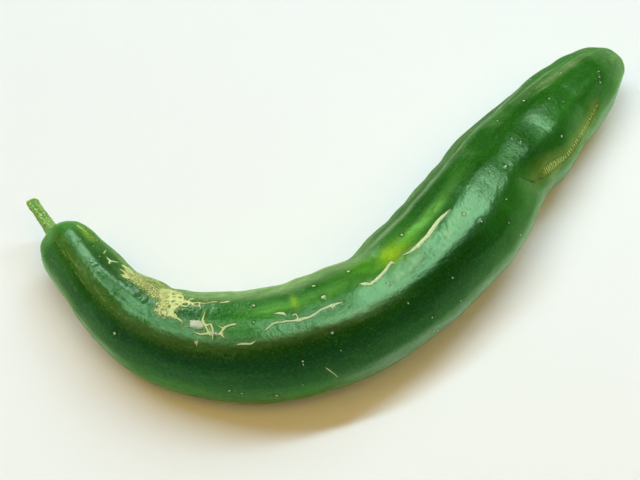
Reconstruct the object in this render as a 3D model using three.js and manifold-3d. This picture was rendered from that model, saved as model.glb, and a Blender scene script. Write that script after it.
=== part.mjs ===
// A curved cucumber lying on its side, with its cut stalk.
// Units are millimetres and +Z is up. The fruit lies on the plane z = 0, with
// the line from the stalk's cut end to the blossom tip along +X.
import * as THREE from "three";
import { mergeVertices } from "three/addons/utils/BufferGeometryUtils.js";
import Module from "manifold-3d";

// ---------------------------------------------------------------- dimensions

// Stations along the fruit's own axis, from the stalk end to the blossom tip:
// distance along the axis, the axis point's x, y, z, the mean radius of the
// section there, how much the flank inside the bend swells, how much the flank
// outside the bend swells, and the angle of those flanks above the horizontal.
const STATIONS = [
  [0.00, -108.90, 37.47, 13.95, 0.00, 0.00, -0.00, 7.7],
  [0.40, -108.84, 37.11, 13.93, 2.37, 0.01, -0.01, 7.7],
  [1.20, -108.71, 36.40, 13.89, 4.06, 0.02, -0.02, 7.8],
  [2.50, -108.50, 35.24, 13.82, 5.75, 0.04, -0.04, 7.9],
  [4.00, -108.25, 33.89, 13.76, 7.11, 0.07, -0.07, 8.1],
  [6.00, -107.90, 32.09, 13.69, 8.51, -0.39, 0.39, 8.4],
  [8.50, -107.44, 29.82, 13.63, 9.46, -0.38, 0.38, 8.9],
  [12.00, -106.75, 26.63, 13.59, 10.29, -0.24, 0.24, 9.6],
  [17.00, -105.63, 22.04, 13.61, 10.76, 0.06, -0.06, 10.8],
  [23.00, -104.09, 16.47, 13.74, 11.34, 0.59, -0.59, 12.6],
  [29.00, -102.27, 10.81, 14.04, 11.72, 0.69, -0.69, 14.5],
  [35.00, -100.16, 5.20, 14.36, 12.08, 0.19, -0.19, 16.6],
  [41.00, -97.71, -0.26, 14.67, 12.49, -0.10, 0.10, 18.8],
  [47.00, -94.89, -5.54, 14.99, 13.45, 0.05, -0.05, 21.0],
  [53.00, -91.67, -10.59, 15.32, 14.34, 0.18, -0.18, 23.3],
  [59.00, -88.02, -15.32, 15.64, 14.75, -0.38, 0.38, 25.4],
  [65.00, -83.92, -19.68, 15.95, 15.57, -0.23, 0.23, 27.4],
  [71.00, -79.40, -23.59, 16.26, 16.11, -0.17, 0.17, 29.1],
  [77.00, -74.50, -27.01, 16.56, 16.76, 0.07, -0.07, 30.4],
  [83.00, -69.28, -29.92, 16.90, 17.30, 0.13, -0.13, 31.3],
  [89.00, -63.79, -32.32, 17.27, 17.64, 0.15, -0.15, 31.9],
  [95.00, -58.10, -34.16, 17.60, 18.04, 0.07, -0.07, 32.1],
  [101.00, -52.24, -35.40, 17.81, 18.20, 0.11, -0.11, 31.9],
  [107.00, -46.29, -36.08, 17.99, 18.29, 0.00, -0.00, 31.5],
  [113.00, -40.32, -36.29, 18.20, 18.65, 0.33, -0.33, 30.9],
  [119.00, -34.36, -36.00, 18.39, 18.71, 0.13, -0.13, 30.1],
  [125.00, -28.42, -35.16, 18.43, 18.89, 0.15, -0.15, 29.0],
  [131.00, -22.51, -33.78, 18.29, 18.65, -0.17, 0.17, 27.9],
  [137.00, -16.70, -32.03, 18.22, 18.41, -0.42, 0.42, 26.6],
  [143.00, -11.06, -30.09, 18.45, 18.83, 0.02, -0.02, 25.2],
  [149.00, -5.58, -27.90, 18.85, 19.32, 0.48, -0.48, 23.8],
  [155.00, -0.19, -25.36, 19.16, 19.61, 0.37, -0.37, 22.5],
  [161.00, 5.10, -22.50, 19.37, 19.67, 0.28, -0.28, 21.2],
  [167.00, 10.24, -19.47, 19.62, 20.03, 0.30, -0.30, 20.1],
  [173.00, 15.21, -16.33, 19.93, 20.22, 0.00, -0.00, 19.1],
  [179.00, 20.08, -13.02, 20.12, 20.59, -0.13, 0.13, 18.4],
  [185.00, 24.94, -9.49, 20.05, 20.33, -0.16, 0.16, 17.8],
  [191.00, 29.81, -5.77, 19.73, 20.20, -0.09, 0.09, 17.5],
  [197.00, 34.65, -1.98, 19.30, 19.63, 0.09, -0.09, 17.4],
  [203.00, 39.43, 1.74, 18.93, 19.27, 0.79, -0.79, 17.6],
  [209.00, 44.19, 5.38, 18.59, 19.16, 0.93, -0.93, 17.9],
  [215.00, 49.00, 9.00, 18.21, 18.54, 1.04, -1.04, 18.3],
  [221.00, 53.78, 12.45, 17.94, 18.21, 0.73, -0.73, 18.9],
  [227.00, 58.55, 15.75, 17.78, 18.26, 0.04, -0.04, 19.5],
  [233.00, 63.47, 19.12, 17.43, 17.85, -0.21, 0.21, 20.2],
  [239.00, 68.60, 22.64, 16.82, 17.29, -0.12, 0.12, 20.9],
  [245.00, 73.79, 26.10, 16.21, 16.40, 0.12, -0.12, 21.7],
  [251.00, 78.90, 29.32, 15.81, 16.42, 0.16, -0.16, 22.5],
  [257.00, 83.98, 32.39, 15.49, 15.76, -0.08, 0.08, 23.5],
  [263.00, 89.05, 35.35, 15.17, 14.94, -0.18, 0.18, 24.6],
  [269.00, 94.17, 38.22, 14.79, 14.21, 0.16, -0.16, 26.0],
  [275.00, 99.38, 41.04, 14.29, 12.88, 0.30, -0.30, 27.5],
  [282.39, 105.96, 44.29, 13.59, 10.62, 0.98, -0.98, 29.5],
  [285.89, 109.15, 45.69, 13.27, 9.03, 0.89, -0.89, 30.4],
  [288.39, 111.46, 46.62, 13.06, 7.89, 0.92, -0.92, 31.0],
  [290.39, 113.33, 47.30, 12.90, 6.42, 0.56, -0.56, 31.5],
  [291.89, 114.75, 47.78, 12.78, 5.12, 0.35, -0.35, 31.7],
  [293.19, 115.98, 48.19, 12.69, 3.58, 0.17, -0.17, 32.0],
  [293.99, 116.74, 48.43, 12.63, 2.07, 0.06, -0.06, 32.1],
  [294.39, 117.12, 48.55, 12.60, 0.00, -0.00, 0.00, 32.1],
];
const RINGS = 92; // sections that the skin is lofted through
const SIDES = 32; // corners of each section
const FLANK_SPREAD = 80; // degrees either side of a flank that its swell reaches
const POLE_RADIUS = 0.02; // smallest section, next to a pole

// A long low rib and the hollow beside it, on the upper inside of the bend:
// distance along the axis and the rib's angle above the horizontal.
const RIB_LINE = [
  [112, 62], [134, 58], [150, 56.5], [165, 55.5], [180, 55.5], [196, 54], [214, 53], [232, 51.5], [250, 50.5], [268, 56],
];
const RIB_FROM = [116, 142]; // the rib rises over this stretch
const RIB_TO = [236, 260]; // and fades out over this one
const RIB_HEIGHT = 0.45;
const RIB_WIDTH = 6.5; // degrees
const HOLLOW_DEPTH = 0.85;
const HOLLOW_WIDTH = 9; // degrees
const HOLLOW_OFFSET = 18; // degrees below the rib

// The fold across the outer flank, where the blossom end bends back.
const FOLD_AT = 203;
const FOLD_SKEW = 5.5; // how far it leans along the axis over 22 degrees
const FOLD_DEPTH = 1.1;
const FOLD_LENGTH = 2.6;
const FOLD_ANGLE = 158; // degrees
const FOLD_SPREAD = 20; // degrees

// The stalk: points on its axis from the cut end to inside the fruit's shoulder,
// and its radius at distances from the cut end.
const STALK_AXIS = [
  [-115.29, 48.55, 17.6], [-113.4, 42.9, 16.35], [-111.55, 37.33, 15.1], [-110.3, 33.6, 14.35],
];
const STALK_RADII = [
  [0, 2.0], [0.35, 2.15], [1.2, 2.12], [4, 2.08], [7.5, 2.15], [10, 2.3], [11.8, 2.55], [13.2, 2.9], [14.6, 3.25], [16.4, 3.4],
];
const STALK_SIDES = 15;
const STALK_RIBS = 5; // the stalk is faintly five-cornered
const STALK_RIB_HEIGHT = 0.12;
const STALK_CUT_SLANT = 0.5; // how far the cut end leans over its width
const CLEARANCE = 0.35; // between the stalk's foot and the fruit's shoulder

// ---------------------------------------------------------------- small maths

const rad = THREE.MathUtils.degToRad;
const wrap = (a) => a - 2 * Math.PI * Math.round(a / (2 * Math.PI));
const bell = (x, w) => Math.exp(-0.5 * (x / w) ** 2);
const ramp = (a, b, x) => {
  const u = Math.min(1, Math.max(0, (x - a) / (b - a)));
  return u * u * (3 - 2 * u);
};

// A smooth curve through the points (xs, ys), as a function of x.
function smoothThrough(xs, ys) {
  const n = xs.length;
  const h = [], d = [], m = [];
  for (let i = 0; i < n - 1; i++) {
    h.push(xs[i + 1] - xs[i]);
    d.push((ys[i + 1] - ys[i]) / h[i]);
  }
  m[0] = d[0];
  m[n - 1] = d[n - 2];
  for (let i = 1; i < n - 1; i++) m[i] = (d[i - 1] * h[i] + d[i] * h[i - 1]) / (h[i - 1] + h[i]);
  return (x) => {
    let i = 0;
    while (i < n - 2 && x >= xs[i + 1]) i++;
    const u = (x - xs[i]) / h[i];
    return (
      (2 * u ** 3 - 3 * u ** 2 + 1) * ys[i] + (u ** 3 - 2 * u ** 2 + u) * h[i] * m[i] +
      (-2 * u ** 3 + 3 * u ** 2) * ys[i + 1] + (u ** 3 - u ** 2) * h[i] * m[i + 1]
    );
  };
}
function straightThrough(points) {
  return (x) => {
    if (x <= points[0][0]) return points[0][1];
    for (let i = 1; i < points.length; i++)
      if (x <= points[i][0]) {
        const [x0, y0] = points[i - 1], [x1, y1] = points[i];
        return y0 + ((y1 - y0) * (x - x0)) / (x1 - x0);
      }
    return points[points.length - 1][1];
  };
}

// ---------------------------------------------------------------- the fruit

const along = STATIONS.map((r) => r[0]);
const column = (k, f = (v) => v) => smoothThrough(along, STATIONS.map((r) => f(r[k])));
const axisX = column(1), axisY = column(2), axisZ = column(3);
const radiusSquared = column(4, (v) => v * v);
const swellIn = column(5), swellOut = column(6), flank = column(7);
const LENGTH = along[along.length - 1];
const ribAngle = straightThrough(RIB_LINE);

function flankShare(angle) {
  const a = wrap(angle), w = rad(FLANK_SPREAD);
  return Math.abs(a) < w ? Math.cos(((a / w) * Math.PI) / 2) ** 2 : 0;
}

function relief(s, angle) {
  const rib = rad(ribAngle(s));
  const share = ramp(...RIB_FROM, s) * (1 - ramp(...RIB_TO, s));
  let v = share * (RIB_HEIGHT * bell(wrap(angle - rib), rad(RIB_WIDTH)) -
    HOLLOW_DEPTH * bell(wrap(angle - rib + rad(HOLLOW_OFFSET)), rad(HOLLOW_WIDTH)));
  const lean = Math.min(1.4, Math.max(-1.4, wrap(angle - rad(150)) / rad(22)));
  v -= FOLD_DEPTH * bell(s - (FOLD_AT + FOLD_SKEW * lean), FOLD_LENGTH) *
    bell(wrap(angle - rad(FOLD_ANGLE)), rad(FOLD_SPREAD));
  return v;
}

// Radius of the skin at a distance along the axis and an angle about it, where
// 0 degrees points into the bend and 90 degrees points up.
function skinRadius(s, angle) {
  const f = rad(flank(s));
  const r = Math.sqrt(Math.max(radiusSquared(s), 0)) + swellIn(s) * flankShare(angle - f) +
    swellOut(s) * flankShare(angle - f - Math.PI) + relief(s, angle);
  return Math.max(r, POLE_RADIUS);
}

function axisPoint(s) {
  return new THREE.Vector3(axisX(s), axisY(s), axisZ(s));
}
function axisFrame(s) {
  const e = 0.05, a = Math.max(0, s - e), b = Math.min(LENGTH, s + e);
  const tangent = axisPoint(b).sub(axisPoint(a)).normalize();
  const up = new THREE.Vector3(0, 0, 1).addScaledVector(tangent, -tangent.z).normalize();
  return { tangent, up, inward: new THREE.Vector3().crossVectors(up, tangent) };
}

// A closed loft: rings of points, with a point at each end.
function loft(first, rings, last) {
  const n = rings[0].length;
  const points = [first, ...rings.flat(), last];
  const index = [];
  for (let j = 0; j < n; j++) {
    const k = (j + 1) % n;
    index.push(0, 1 + k, 1 + j);
    for (let i = 0; i < rings.length - 1; i++) {
      const a = 1 + i * n + j, b = 1 + i * n + k, c = a + n, d = b + n;
      index.push(a, b, c, b, d, c);
    }
    const base = 1 + (rings.length - 1) * n;
    index.push(base + j, base + k, points.length - 1);
  }
  const geometry = new THREE.BufferGeometry();
  geometry.setAttribute("position", new THREE.Float32BufferAttribute(points.flatMap((p) => [p.x, p.y, p.z]), 3));
  geometry.setIndex(index);
  return geometry;
}

// The skin, moved outwards by a margin. Everything below the plane it lies on
// is flattened onto that plane, which gives the fruit its resting face.
function fruitGeometry(margin = 0, sides = SIDES, count = RINGS) {
  const rings = [];
  for (let i = 1; i <= count; i++) {
    const u = i / (count + 1);
    const s = LENGTH * (u - (Math.sin(2 * Math.PI * u) / (2 * Math.PI)) * 0.8);
    const p = axisPoint(s), { up, inward } = axisFrame(s);
    const ring = [];
    for (let j = 0; j < sides; j++) {
      const angle = (2 * Math.PI * (j + 0.5)) / sides;
      const r = skinRadius(s, angle) + margin;
      const q = p.clone().addScaledVector(inward, r * Math.cos(angle)).addScaledVector(up, r * Math.sin(angle));
      q.z = Math.max(q.z, -margin);
      ring.push(q);
    }
    rings.push(ring);
  }
  const start = axisPoint(0).addScaledVector(axisFrame(0).tangent, -margin);
  const end = axisPoint(LENGTH).addScaledVector(axisFrame(LENGTH).tangent, margin);
  return loft(start, rings, end);
}

// ---------------------------------------------------------------- the stalk

const stalkRadius = smoothThrough(STALK_RADII.map((p) => p[0]), STALK_RADII.map((p) => p[1]));

const stalkAxis = new THREE.CatmullRomCurve3(STALK_AXIS.map((p) => new THREE.Vector3(...p)));
const STALK_LENGTH = stalkAxis.getLength();

function stalkFrame(t) {
  const u = Math.min(1, t / STALK_LENGTH);
  const centre = stalkAxis.getPointAt(u), axis = stalkAxis.getTangentAt(u).normalize();
  const up = new THREE.Vector3(0, 0, 1).addScaledVector(axis, -axis.z).normalize();
  return { centre, axis, up, side: new THREE.Vector3().crossVectors(up, axis) };
}

function stalkGeometry() {
  const rings = [];
  for (const t of [0, 0.35, 1.2, 3, 5, 7, 9, 10.5, 11.6, 12.6, 13.6, 14.7, STALK_LENGTH]) {
    const { centre, axis, up, side } = stalkFrame(t), ring = [];
    const slant = STALK_CUT_SLANT * (1 - ramp(0, 3, t));
    for (let j = 0; j < STALK_SIDES; j++) {
      const angle = (2 * Math.PI * j) / STALK_SIDES;
      const r = stalkRadius(t) + STALK_RIB_HEIGHT * Math.cos(STALK_RIBS * angle);
      ring.push(centre.clone().addScaledVector(side, r * Math.cos(angle)).addScaledVector(up, r * Math.sin(angle))
        .addScaledVector(axis, slant * Math.cos(angle - 1)));
    }
    rings.push(ring);
  }
  const tip = stalkFrame(0), foot = stalkFrame(STALK_LENGTH);
  return loft(tip.centre.addScaledVector(tip.axis, -0.12), rings, foot.centre.addScaledVector(foot.axis, 0.1));
}

// ---------------------------------------------------------------- joining

const wasm = await Module();
wasm.setup();

function toSolid(geometry) {
  const g = geometry.clone();
  g.deleteAttribute("normal");
  g.deleteAttribute("uv");
  const merged = mergeVertices(g, 1e-4);
  return new wasm.Manifold(new wasm.Mesh({
    numProp: 3,
    vertProperties: new Float32Array(merged.attributes.position.array),
    triVerts: new Uint32Array(merged.index.array),
  }));
}
function toGeometry(solid) {
  const mesh = solid.getMesh();
  const geometry = new THREE.BufferGeometry();
  geometry.setAttribute("position", new THREE.BufferAttribute(new Float32Array(mesh.vertProperties), 3));
  geometry.setIndex(new THREE.BufferAttribute(new Uint32Array(mesh.triVerts), 1));
  geometry.computeVertexNormals();
  return geometry;
}

const fruitShape = fruitGeometry();
fruitShape.computeVertexNormals();
// The stalk's foot is shaped to the fruit's shoulder, with a little clearance.
const stalkShape = toGeometry(toSolid(stalkGeometry()).subtract(toSolid(fruitGeometry(CLEARANCE))));

// ---------------------------------------------------------------- the object

const cucumber = new THREE.Group();

const fruit = new THREE.Mesh(
  fruitShape,
  new THREE.MeshStandardMaterial({ color: 0x1f6a24, roughness: 0.38, metalness: 0 }),
);
fruit.name = "fruit";
cucumber.add(fruit);

const stalk = new THREE.Mesh(
  stalkShape,
  new THREE.MeshStandardMaterial({ color: 0x5f9a35, roughness: 0.6, metalness: 0 }),
);
stalk.name = "stalk";
cucumber.add(stalk);

export default cucumber;
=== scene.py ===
"""A curved cucumber lying on its side with its cut stalk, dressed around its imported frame."""
import math

import bpy
import numpy as np
from mathutils import Matrix, Vector


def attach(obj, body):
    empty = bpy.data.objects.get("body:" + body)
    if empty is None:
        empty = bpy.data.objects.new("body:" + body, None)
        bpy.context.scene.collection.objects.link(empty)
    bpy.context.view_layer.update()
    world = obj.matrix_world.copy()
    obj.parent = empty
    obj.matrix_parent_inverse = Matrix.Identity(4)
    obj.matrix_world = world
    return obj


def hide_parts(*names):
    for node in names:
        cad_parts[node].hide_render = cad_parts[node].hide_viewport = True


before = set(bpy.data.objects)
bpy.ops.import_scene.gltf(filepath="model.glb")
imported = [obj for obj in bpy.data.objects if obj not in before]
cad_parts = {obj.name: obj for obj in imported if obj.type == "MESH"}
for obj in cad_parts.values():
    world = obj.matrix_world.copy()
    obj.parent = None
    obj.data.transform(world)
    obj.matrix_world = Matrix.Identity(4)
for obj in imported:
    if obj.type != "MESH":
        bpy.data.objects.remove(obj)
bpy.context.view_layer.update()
MM = 0.001

# ------------------------------------------------------------------ camera

AZIMUTH, ELEVATION = math.radians(-19.403), math.radians(52.0)
camera_data = bpy.data.cameras.new("camera")
camera = bpy.data.objects.new("camera", camera_data)
bpy.context.scene.collection.objects.link(camera)
bpy.context.scene.camera = camera
camera_data.lens, camera_data.sensor_width = 60.0, 36.0
camera_data.clip_start, camera_data.clip_end = 0.02, 50.0
back = Vector((math.sin(AZIMUTH) * math.cos(ELEVATION), -math.cos(AZIMUTH) * math.cos(ELEVATION), math.sin(ELEVATION)))
right = Vector((math.cos(AZIMUTH), math.sin(AZIMUTH), 0.0))
up = back.cross(right)
camera.matrix_world = Matrix.Translation(Vector((-100.318, -211.152, 303.785)) * MM) @ Matrix(
    (right, up, back)).transposed().to_4x4()

# ------------------------------------------------------------------ the fruit's form
# Millimetres and degrees. The skin is a radius about a curved axis, as a function of the distance s along the
# axis from the stalk end and the angle about it: 0 into the bend, 90 up, 180 outside the bend, 270 down.

# s, axis x, y, z, radius, swell of the inner flank, swell of the outer flank, angle of the flanks
STATIONS = np.array([
    [0.00, -108.90, 37.47, 13.95, 0.00, 0.00, -0.00, 7.7],
    [0.40, -108.84, 37.11, 13.93, 2.37, 0.01, -0.01, 7.7],
    [1.20, -108.71, 36.40, 13.89, 4.06, 0.02, -0.02, 7.8],
    [2.50, -108.50, 35.24, 13.82, 5.75, 0.04, -0.04, 7.9],
    [4.00, -108.25, 33.89, 13.76, 7.11, 0.07, -0.07, 8.1],
    [6.00, -107.90, 32.09, 13.69, 8.51, -0.39, 0.39, 8.4],
    [8.50, -107.44, 29.82, 13.63, 9.46, -0.38, 0.38, 8.9],
    [12.00, -106.75, 26.63, 13.59, 10.29, -0.24, 0.24, 9.6],
    [17.00, -105.63, 22.04, 13.61, 10.76, 0.06, -0.06, 10.8],
    [23.00, -104.09, 16.47, 13.74, 11.34, 0.59, -0.59, 12.6],
    [29.00, -102.27, 10.81, 14.04, 11.72, 0.69, -0.69, 14.5],
    [35.00, -100.16, 5.20, 14.36, 12.08, 0.19, -0.19, 16.6],
    [41.00, -97.71, -0.26, 14.67, 12.49, -0.10, 0.10, 18.8],
    [47.00, -94.89, -5.54, 14.99, 13.45, 0.05, -0.05, 21.0],
    [53.00, -91.67, -10.59, 15.32, 14.34, 0.18, -0.18, 23.3],
    [59.00, -88.02, -15.32, 15.64, 14.75, -0.38, 0.38, 25.4],
    [65.00, -83.92, -19.68, 15.95, 15.57, -0.23, 0.23, 27.4],
    [71.00, -79.40, -23.59, 16.26, 16.11, -0.17, 0.17, 29.1],
    [77.00, -74.50, -27.01, 16.56, 16.76, 0.07, -0.07, 30.4],
    [83.00, -69.28, -29.92, 16.90, 17.30, 0.13, -0.13, 31.3],
    [89.00, -63.79, -32.32, 17.27, 17.64, 0.15, -0.15, 31.9],
    [95.00, -58.10, -34.16, 17.60, 18.04, 0.07, -0.07, 32.1],
    [101.00, -52.24, -35.40, 17.81, 18.20, 0.11, -0.11, 31.9],
    [107.00, -46.29, -36.08, 17.99, 18.29, 0.00, -0.00, 31.5],
    [113.00, -40.32, -36.29, 18.20, 18.65, 0.33, -0.33, 30.9],
    [119.00, -34.36, -36.00, 18.39, 18.71, 0.13, -0.13, 30.1],
    [125.00, -28.42, -35.16, 18.43, 18.89, 0.15, -0.15, 29.0],
    [131.00, -22.51, -33.78, 18.29, 18.65, -0.17, 0.17, 27.9],
    [137.00, -16.70, -32.03, 18.22, 18.41, -0.42, 0.42, 26.6],
    [143.00, -11.06, -30.09, 18.45, 18.83, 0.02, -0.02, 25.2],
    [149.00, -5.58, -27.90, 18.85, 19.32, 0.48, -0.48, 23.8],
    [155.00, -0.19, -25.36, 19.16, 19.61, 0.37, -0.37, 22.5],
    [161.00, 5.10, -22.50, 19.37, 19.67, 0.28, -0.28, 21.2],
    [167.00, 10.24, -19.47, 19.62, 20.03, 0.30, -0.30, 20.1],
    [173.00, 15.21, -16.33, 19.93, 20.22, 0.00, -0.00, 19.1],
    [179.00, 20.08, -13.02, 20.12, 20.59, -0.13, 0.13, 18.4],
    [185.00, 24.94, -9.49, 20.05, 20.33, -0.16, 0.16, 17.8],
    [191.00, 29.81, -5.77, 19.73, 20.20, -0.09, 0.09, 17.5],
    [197.00, 34.65, -1.98, 19.30, 19.63, 0.09, -0.09, 17.4],
    [203.00, 39.43, 1.74, 18.93, 19.27, 0.79, -0.79, 17.6],
    [209.00, 44.19, 5.38, 18.59, 19.16, 0.93, -0.93, 17.9],
    [215.00, 49.00, 9.00, 18.21, 18.54, 1.04, -1.04, 18.3],
    [221.00, 53.78, 12.45, 17.94, 18.21, 0.73, -0.73, 18.9],
    [227.00, 58.55, 15.75, 17.78, 18.26, 0.04, -0.04, 19.5],
    [233.00, 63.47, 19.12, 17.43, 17.85, -0.21, 0.21, 20.2],
    [239.00, 68.60, 22.64, 16.82, 17.29, -0.12, 0.12, 20.9],
    [245.00, 73.79, 26.10, 16.21, 16.40, 0.12, -0.12, 21.7],
    [251.00, 78.90, 29.32, 15.81, 16.42, 0.16, -0.16, 22.5],
    [257.00, 83.98, 32.39, 15.49, 15.76, -0.08, 0.08, 23.5],
    [263.00, 89.05, 35.35, 15.17, 14.94, -0.18, 0.18, 24.6],
    [269.00, 94.17, 38.22, 14.79, 14.21, 0.16, -0.16, 26.0],
    [275.00, 99.38, 41.04, 14.29, 12.88, 0.30, -0.30, 27.5],
    [282.39, 105.96, 44.29, 13.59, 10.62, 0.98, -0.98, 29.5],
    [285.89, 109.15, 45.69, 13.27, 9.03, 0.89, -0.89, 30.4],
    [288.39, 111.46, 46.62, 13.06, 7.89, 0.92, -0.92, 31.0],
    [290.39, 113.33, 47.30, 12.90, 6.42, 0.56, -0.56, 31.5],
    [291.89, 114.75, 47.78, 12.78, 5.12, 0.35, -0.35, 31.7],
    [293.19, 115.98, 48.19, 12.69, 3.58, 0.17, -0.17, 32.0],
    [293.99, 116.74, 48.43, 12.63, 2.07, 0.06, -0.06, 32.1],
    [294.39, 117.12, 48.55, 12.60, 0.00, -0.00, 0.00, 32.1],
])
LENGTH = float(STATIONS[-1, 0])
FLANK_SPREAD = math.radians(80)
RIB_LINE = np.array([[112, 62], [134, 58], [150, 56.5], [165, 55.5], [180, 55.5], [196, 54], [214, 53], [232, 51.5],
                     [250, 50.5], [268, 56]], float)


def wrap(a):
    return (a + math.pi) % (2 * math.pi) - math.pi


def bell(x, w):
    return np.exp(-0.5 * (x / w) ** 2)


def ramp(a, b, x):
    u = np.clip((x - a) / (b - a), 0, 1)
    return u * u * (3 - 2 * u)


def smooth_through(xs, ys, q):
    """A smooth curve through the points (xs, ys), at q."""
    h = np.diff(xs)
    d = np.diff(ys) / h
    m = np.empty(len(xs))
    m[0], m[-1] = d[0], d[-1]
    m[1:-1] = (d[:-1] * h[1:] + d[1:] * h[:-1]) / (h[:-1] + h[1:])
    i = np.clip(np.searchsorted(xs, q, side="right") - 1, 0, len(xs) - 2)
    u = (q - xs[i]) / h[i]
    return ((2 * u**3 - 3 * u**2 + 1) * ys[i] + (u**3 - 2 * u**2 + u) * h[i] * m[i]
            + (-2 * u**3 + 3 * u**2) * ys[i + 1] + (u**3 - u**2) * h[i] * m[i + 1])


def column(k, s):
    return smooth_through(STATIONS[:, 0], STATIONS[:, k], s)


def axis_point(s):
    return np.stack([column(k, s) for k in (1, 2, 3)], -1)


def axis_frame(s):
    a, b = np.clip(s - 0.05, 0, LENGTH), np.clip(s + 0.05, 0, LENGTH)
    tangent = axis_point(b) - axis_point(a)
    tangent /= np.linalg.norm(tangent, axis=-1, keepdims=True)
    upward = np.array([0, 0, 1.0]) - tangent * tangent[..., 2:3]
    upward /= np.linalg.norm(upward, axis=-1, keepdims=True)
    return tangent, upward, np.cross(upward, tangent)


def radius(s):
    return np.sqrt(np.maximum(smooth_through(STATIONS[:, 0], STATIONS[:, 4] ** 2, s), 0))


def base_skin(s, a):
    """The main form: radius with the swells of the two flanks, the long rib and its hollow, and the fold."""
    f = np.radians(column(7, s))

    def share(x):
        x = wrap(x)
        return np.where(abs(x) < FLANK_SPREAD, np.cos(x / FLANK_SPREAD * math.pi / 2) ** 2, 0)

    r = radius(s) + column(5, s) * share(a - f) + column(6, s) * share(a - f - math.pi)
    rib = np.radians(np.interp(s, RIB_LINE[:, 0], RIB_LINE[:, 1]))
    along = ramp(116, 142, s) * (1 - ramp(236, 260, s))
    r = r + along * (0.45 * bell(wrap(a - rib), math.radians(6.5))
                     - 0.85 * bell(wrap(a - rib + math.radians(18)), math.radians(9)))
    lean = np.clip(wrap(a - math.radians(150)) / math.radians(22), -1.4, 1.4)
    r = r - 1.1 * bell(s - (203 + 5.5 * lean), 2.6) * bell(wrap(a - math.radians(158)), math.radians(20))
    return r


def skin_point(s, degrees, lift=0.0):
    """Points of the main form."""
    s, a = np.asarray(s, float), np.radians(np.asarray(degrees, float))
    _, upward, inward = axis_frame(s)
    r = np.maximum(base_skin(s, a), 0.02) + lift
    return axis_point(s) + r[..., None] * (np.cos(a)[..., None] * inward + np.sin(a)[..., None] * upward)


def spread(low, high, step_of, count):
    """count values from low to high, as close together as step_of asks."""
    x = np.linspace(low, high, 20001)
    c = np.concatenate([[0], np.cumsum(1 / step_of((x[1:] + x[:-1]) / 2))])
    return np.interp((np.arange(count) + 0.5) / count * c[-1], c, x)


RINGS, SIDES = 606, 160


def ring_step(s):
    pole = np.minimum(s, LENGTH - s)
    wide = np.interp(s, [0, 28, 34, 100, 108, 175, 185, 260, 270, 294], [0.5, 0.5, 0.42, 0.42, 0.48, 0.48, 0.55, 0.55, 0.62, 0.62])
    return np.minimum(wide, 0.1 + 0.22 * pole)


def side_step(d):
    return np.interp(d, [-90, -25, -10, 25, 40, 160, 175, 200, 215, 270], [5, 4.6, 3.2, 2.6, 1.32, 1.32, 1.8, 2.2, 4.6, 5])


RING_S = spread(0.0, LENGTH, ring_step, RINGS)
SIDE_DEG = spread(-90.0, 270.0, side_step, SIDES)
S, DEG = np.meshgrid(RING_S, SIDE_DEG, indexing="ij")
ANG = np.radians(DEG)
MAIN = skin_point(S, DEG)
ROUND = radius(S)
# The skin straightened out: distance along, and a round section. Textures are laid out in it.
STRAIGHT = np.stack([S, ROUND * np.cos(ANG), ROUND * np.sin(ANG)], -1)


def waves(points, length, seed, stretch=(1, 1, 1), count=36):
    """A smooth random field with features about length apart, seeded."""
    rng = np.random.default_rng(seed)
    k = rng.normal(size=(count, 3))
    k /= np.linalg.norm(k, axis=1, keepdims=True)
    k *= (rng.uniform(0.7, 1.3, size=(count, 1)) * 2 * math.pi / length) / np.array(stretch)
    phase = rng.uniform(0, 2 * math.pi, count)
    out = np.zeros(points.shape[:-1])
    for kk, p in zip(k, phase):
        out += np.sin(points @ kk + p)
    return out / math.sqrt(count / 2)


# ------------------------------------------------------------------ marks on the skin
# Healed scars and corky patches, drawn on the skin: rows of (s, degrees, half width in mm).

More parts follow.
